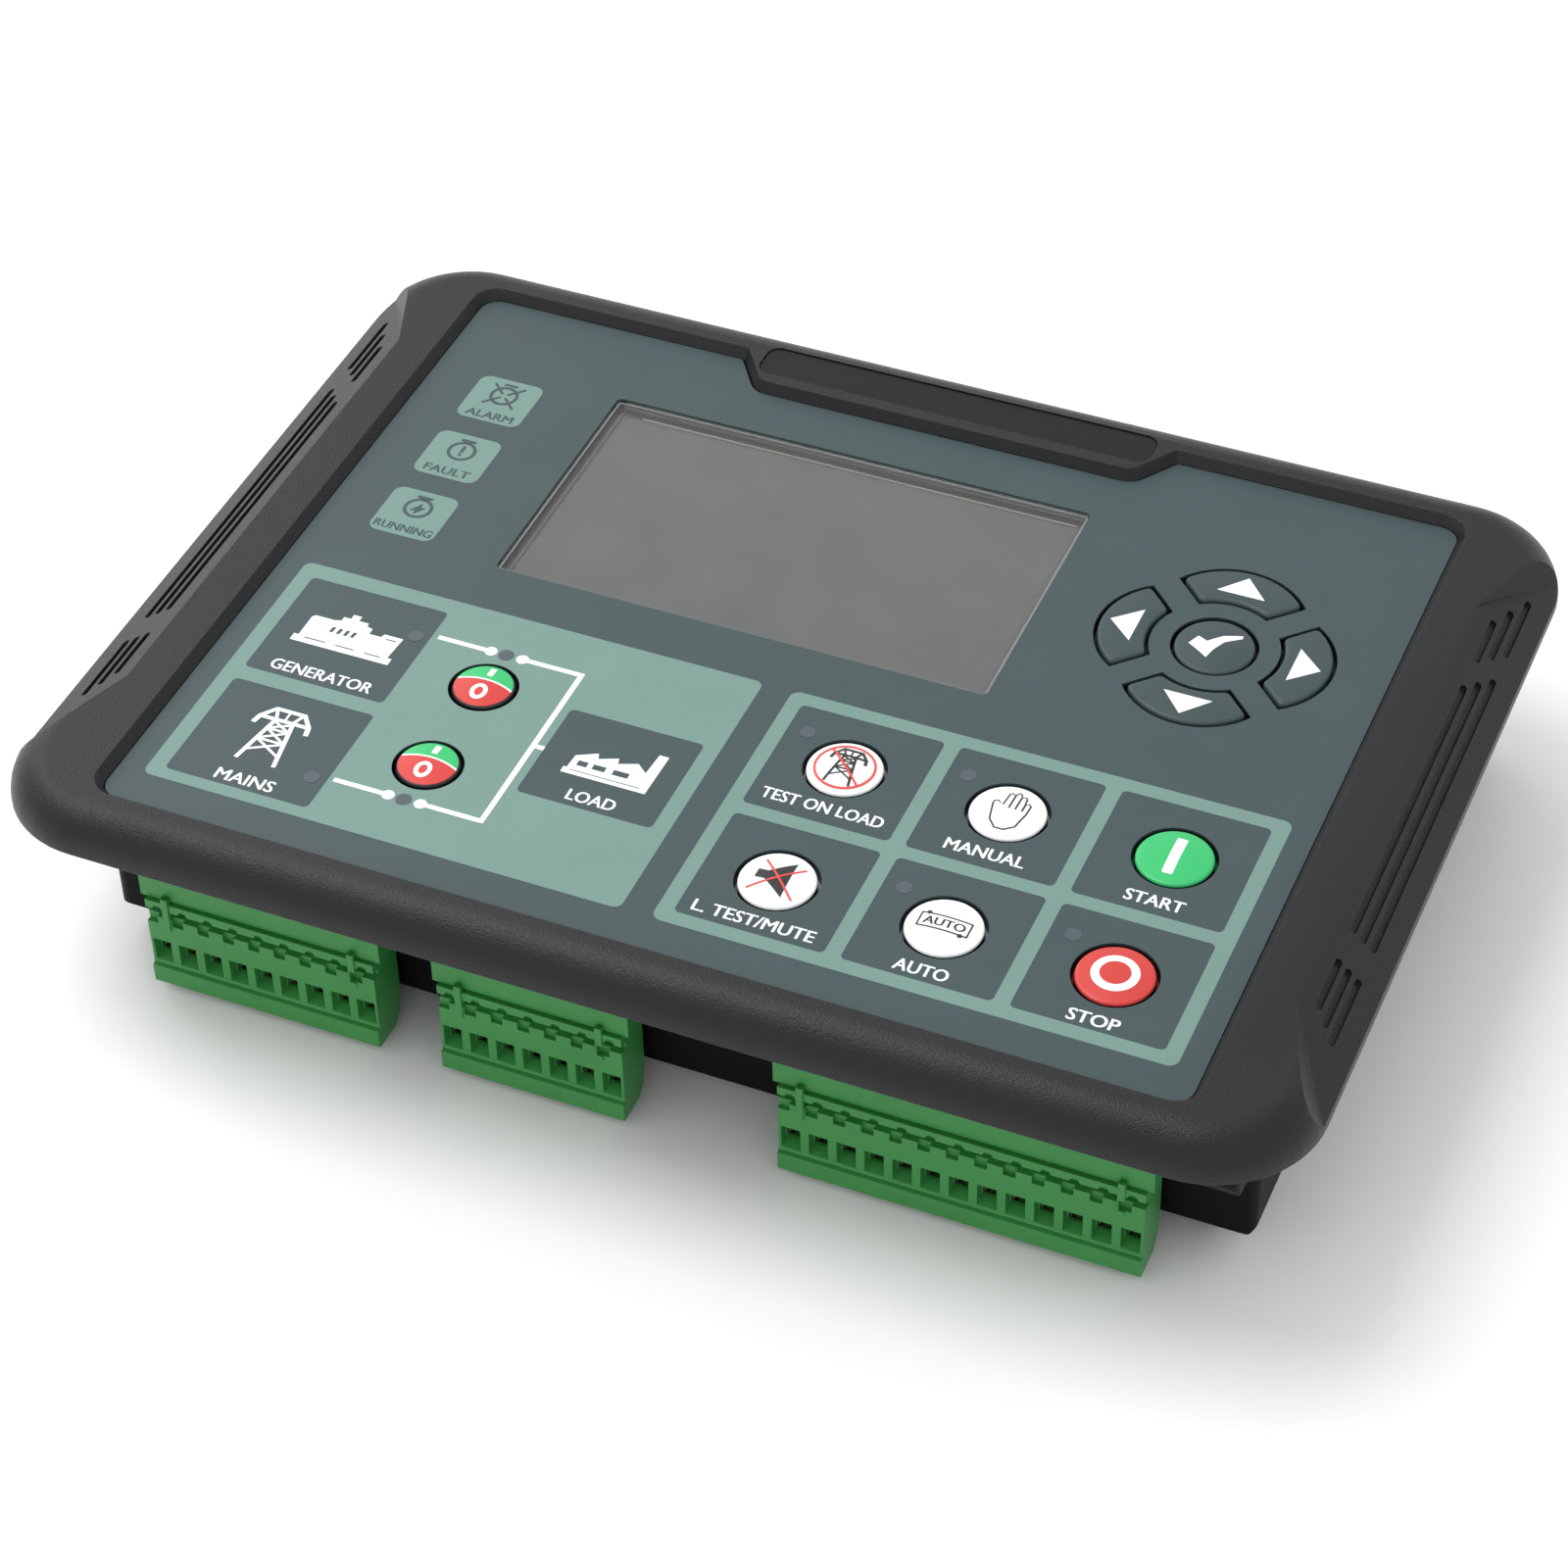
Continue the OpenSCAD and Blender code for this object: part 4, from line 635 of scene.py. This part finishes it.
# Breaker keys: two smaller black caps on the mimic panel, printed half green and half red.
# The upper half closes the breaker, the lower half opens it, and a bowed white line parts them.
BREAKER_R = 5.65
PRINT_R = 5.3
LINE_R = 14.5
LINE_TOP = 1.4
LINE_HALF = 0.22
black_cap = moulding("black_key_moulding", (0.010, 0.011, 0.012), 0.40, 0.3, 0.004)


def half_print(r, upper):
    """Part of the round print on one side of the bowed line."""
    centre = LINE_TOP - LINE_R
    y = (PRINT_R ** 2 - r ** 2 + centre ** 2) / (2 * centre)
    edge = math.degrees(math.asin(y / PRINT_R))
    bow = math.degrees(math.acos(math.sqrt(PRINT_R ** 2 - y ** 2) / r))
    line = arc(0, centre, r, bow, 180 - bow, 12)
    if upper:
        return arc(0, 0, PRINT_R, edge, 180 - edge, 30) + line[::-1]
    return arc(0, 0, PRINT_R, 180 - edge, 360 + edge, 30) + line


def oval(cy, half_w, half_h):
    return [(x * half_w, y * half_h + cy) for x, y in disc(0, 0, 1, 32)]


for side, at in breaker_places.items():
    key = "key_%s_breaker" % side
    round_cap(key, at, BREAKER_R, black_cap)
    ground_print = on_key([disc(0, 0, PRINT_R - 0.02, 64)], at)
    crown_mark("print_line_" + side, [ground_print], at, white_ink, key)
    upper = on_key([half_print(LINE_R + LINE_HALF, True)], at, 2.2)
    lower = on_key([half_print(LINE_R - LINE_HALF, False)], at, 2.2)
    crown_mark("print_close_" + side, [upper], at, green_cap, key)
    crown_mark("print_open_" + side, [lower], at, red_cap, key)
    close_mark = on_key([round_rect(-0.55, 2.4, 0.55, 4.6, 0.2)], at, 4)
    open_mark = on_key([oval(-1.9, 1.55, 1.95), oval(-1.9, 0.75, 1.1)], at, 4)
    breaker_marks = [close_mark, open_mark]
    crown_mark("mark_breaker_" + side, breaker_marks, at, white_ink, key)

# Navigation keys: four ring segments round a confirm key, moulded in slate like the film.
# White arrows and a tick are printed on them.
NAV = (67.3, 30.1)
CONFIRM_R = 7.25
RING_TOP = 48.4
RING_R = 12.45
RING_SLIT = 3.25
RING_CORNER = 0.9
RING_RIM = 0.7
RING_STEM_Y = 16.9
BOW_R = 13.7
BOW_Y = 7.65
OUTER_STEPS = 20
INNER_STEPS = 12
slate_cap = moulding(
    "slate_key_moulding", (0.034, 0.057, 0.061), 0.42, 0.16, 0.006, mottle=0.03, specular=0.4,
)
round_cap("key_confirm", NAV, CONFIRM_R, slate_cap)
tick = [
    (-4.5, -1.2), (-3.4, 1.1), (-1.5, 0.1), (0.8, 2.5), (4.0, 4.2),
    (4.1, 3.3), (1.5, 0.9), (0.2, -1.8), (-0.4, -3.9),
]
crown_mark("mark_tick", [on_key([tick], NAV)], NAV, white_ink, "key_confirm")


def segment_outline(grow):
    """Ring segment about the upward direction, in mm from the centre of the ring."""
    tip = (RING_SLIT - grow) * math.sqrt(2)
    ends = []
    for r, y in ((BOW_R + grow, BOW_Y), (RING_R - grow, 0.0)):
        side = (y - tip + math.sqrt(2 * r ** 2 - (tip - y) ** 2)) / 2
        ends.append(math.degrees(math.atan2(side + tip - y, side)))
    outer = arc(0, BOW_Y, BOW_R + grow, ends[0], 180 - ends[0], OUTER_STEPS)
    return outer + arc(0, 0, RING_R - grow, 180 - ends[1], ends[1], INNER_STEPS)


def extruded(shell, outline, low, high, turn, corner=0.0, rim=0.0):
    """Raises an outline, rounds its corners in plan and softens its upper rim."""
    spin = Matrix.Translation((NAV[0] * MM, NAV[1] * MM, 0)) @ Matrix.Rotation(turn, 4, "Z")
    base = [shell.verts.new(spin @ Vector((x * MM, y * MM, low * MM))) for x, y in outline]
    face = shell.faces.new(base)
    if corner:
        bmesh.ops.bevel(
            shell, geom=[base[0], base[OUTER_STEPS], base[OUTER_STEPS + 1], base[-1]],
            offset=corner * MM, offset_type="OFFSET", segments=5, profile=0.5,
            affect="VERTICES", material=-1,
        )
        face = max(shell.faces, key=lambda f: len(f.verts))
    raised = bmesh.ops.extrude_face_region(shell, geom=[face])["geom"]
    top = [g for g in raised if isinstance(g, bmesh.types.BMVert)]
    bmesh.ops.translate(shell, verts=top, vec=(0, 0, (high - low) * MM))
    if rim:
        lid = [g for g in raised if isinstance(g, bmesh.types.BMFace)][0]
        bmesh.ops.bevel(
            shell, geom=lid.edges[:], offset=rim * MM, offset_type="OFFSET", segments=4,
            profile=0.5, affect="EDGES", material=-1,
        )


for key, degrees in (("key_up", 0), ("key_left", 90), ("key_down", 180), ("key_right", 270)):
    turn = math.radians(degrees)
    cap = bmesh.new()
    extruded(cap, segment_outline(0), FLANGE_TOP, RING_TOP, turn, RING_CORNER, RING_RIM)
    extruded(cap, segment_outline(FLANGE_OUT), FLANGE, FLANGE_TOP, turn)
    stem_middle = Vector((0, RING_STEM_Y * MM, (FLANGE + STEM) / 2 * MM))
    away = Matrix.Rotation(turn, 4, "Z") @ stem_middle
    stem_at = Matrix.Translation(away + Vector((NAV[0] * MM, NAV[1] * MM, 0)))
    bmesh.ops.create_cone(
        cap, cap_ends=True, segments=32, radius1=STEM_R * MM, radius2=STEM_R * MM,
        depth=(FLANGE - STEM) * MM, matrix=stem_at,
    )
    bmesh.ops.recalc_face_normals(cap, faces=cap.faces)
    piece = place(key + "_cap", cap, slate_cap, key)
    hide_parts(key)
    spin = Matrix.Rotation(turn, 2)
    arrow = [tuple(spin @ Vector(p)) for p in ((-4.5, 14.6), (4.5, 14.6), (0.0, 19.6))]
    arrow_shape = on_key([arrow], NAV, top=RING_TOP)
    printed("mark_" + key, [arrow_shape], white_ink, key)

# Key mat: a sheet of translucent silicone with a spring dome under each stem.
# Light guides and lamps stand beside it on the display board.
silicone = moulding("translucent_silicone", (0.55, 0.57, 0.53), 0.55, 0.5, 0.01)
frosted = moulding("frosted_guide", (0.70, 0.76, 0.74), 0.35, 0.4, 0.006)
lamp_resin = moulding("lamp_resin", (0.58, 0.64, 0.69), 0.2, 0.4, 0.002)
coat("keypad_mat", silicone)
coat("lamp_light_guides", frosted)
coat("indicator_leds", lamp_resin)

# Boards: two sheets of glass epoxy with a green solder mask, joined by a stacking connector.
# Relays, capacitors, a choke and a processor are soldered to the lower one.
solder_mask = moulding(
    "green_solder_mask", (0.022, 0.130, 0.050), 0.32, 1.2, 0.01, mottle=0.12,
)
zinc = moulding("zinc_plate", (0.58, 0.58, 0.59), 0.32, 0.25, 0.004, metallic=1.0)
black_plastic = moulding("black_moulding", (0.014, 0.014, 0.016), 0.45, 0.3, 0.02)
sleeve_blue = moulding("capacitor_sleeve", (0.018, 0.028, 0.045), 0.3, 0.5, 0.004)
copper = moulding("enamelled_copper", (0.50, 0.20, 0.08), 0.35, 0.8, 0.05, metallic=1.0)
for node in ("display_board", "main_board"):
    coat(node, solder_mask)
for node in ("display_board_screws", "main_board_screws"):
    coat(node, zinc)
for node in ("board_socket", "board_plug", "processor_chip", "output_relays"):
    coat(node, black_plastic)
coat("supply_capacitors", sleeve_blue)
coat("supply_choke", copper)

# Rear housing: a deep black tub with a ledge for the terminals, bevelled towards the back.
# Four screws in deep counterbores draw it to the bezel, and a foam ring seals the rim.
housing_black = moulding(
    "black_spark_texture", (0.0026, 0.0026, 0.0029), 0.50, 0.4, 0.05, specular=0.08,
)
softened("rear_housing", housing_black, 0.4)
foam = moulding("closed_cell_foam", (0.014, 0.014, 0.014), 0.8, 0.6, 0.12)
coat("housing_screws", zinc)
coat("panel_gasket", foam)

# Terminals: three green headers soldered to the main board and hanging through the ledge.
# A plug with a clamp cage and a screw for each pole is pushed onto each header from behind.
leaf_green = moulding(
    "green_terminal_moulding", (0.033, 0.222, 0.047), 0.42, 0.35, 0.012, mottle=0.05, specular=0.4,
)
for ways in (9, 7, 13):
    softened("header_%dway" % ways, leaf_green, 0.12)
    softened("plug_%dway" % ways, leaf_green, 0.07)
tinned = moulding("tinned_brass", (0.62, 0.58, 0.48), 0.3, 0.3, 0.004, metallic=1.0)
coat("header_pins", tinned)
coat("clamp_cages", tinned)
coat("clamp_screws", zinc)

# Studio: a white floor under the part, two soft lights from the left in an even bright room,
# and a camera at the height and distance of the photograph.
floor_sheet = bmesh.new()
bmesh.ops.create_grid(floor_sheet, x_segments=1, y_segments=1, size=3.0)
floor_mesh = bpy.data.meshes.new("floor")
floor_sheet.to_mesh(floor_mesh)
floor_sheet.free()
white_floor = moulding("white_floor", (0.90, 0.90, 0.90), 0.7, 3.0, 0.001, mottle=0.005)
floor_mesh.materials.append(white_floor)
floor = bpy.data.objects.new("floor", floor_mesh)
bpy.context.scene.collection.objects.link(floor)

room = bpy.data.worlds.new("bright_room")
room.use_nodes = True
room.node_tree.nodes["Background"].inputs["Color"].default_value = (1.0, 1.0, 1.0, 1)
room.node_tree.nodes["Background"].inputs["Strength"].default_value = 1.0
bpy.context.scene.world = room


def softbox(name, at, aim, size, power):
    lamp = bpy.data.lights.new(name, "AREA")
    lamp.shape = "RECTANGLE"
    lamp.size = size
    lamp.size_y = size
    lamp.energy = power
    box = bpy.data.objects.new(name, lamp)
    box.location = at
    box.rotation_euler = (Vector(aim) - Vector(at)).to_track_quat("-Z", "Y").to_euler()
    bpy.context.scene.collection.objects.link(box)


AIM = (0.0, 0.0, 0.03)
softbox("key_light", (-0.42, -0.05, 1.05), AIM, 0.6, 5.6)
softbox("side_light", (-1.15, 0.80, 0.75), AIM, 0.9, 3.5)

camera = bpy.data.objects.new("camera", bpy.data.cameras.new("camera"))
camera.data.lens = 95.52
camera.data.sensor_width = 36.0
camera.data.clip_start = 0.01
camera_right = Vector((0.9205, 0.3902, -0.0206))
camera_up = Vector((-0.2511, 0.6310, 0.7340))
camera_back = Vector((0.2994, -0.6705, 0.6788))
camera_turn = Matrix((camera_right, camera_up, camera_back)).transposed().to_4x4()
camera.matrix_world = Matrix.Translation((0.2243, -0.5107, 0.5333)) @ camera_turn
bpy.context.scene.collection.objects.link(camera)
bpy.context.scene.camera = camera
bpy.context.scene.view_settings.view_transform = "Standard"
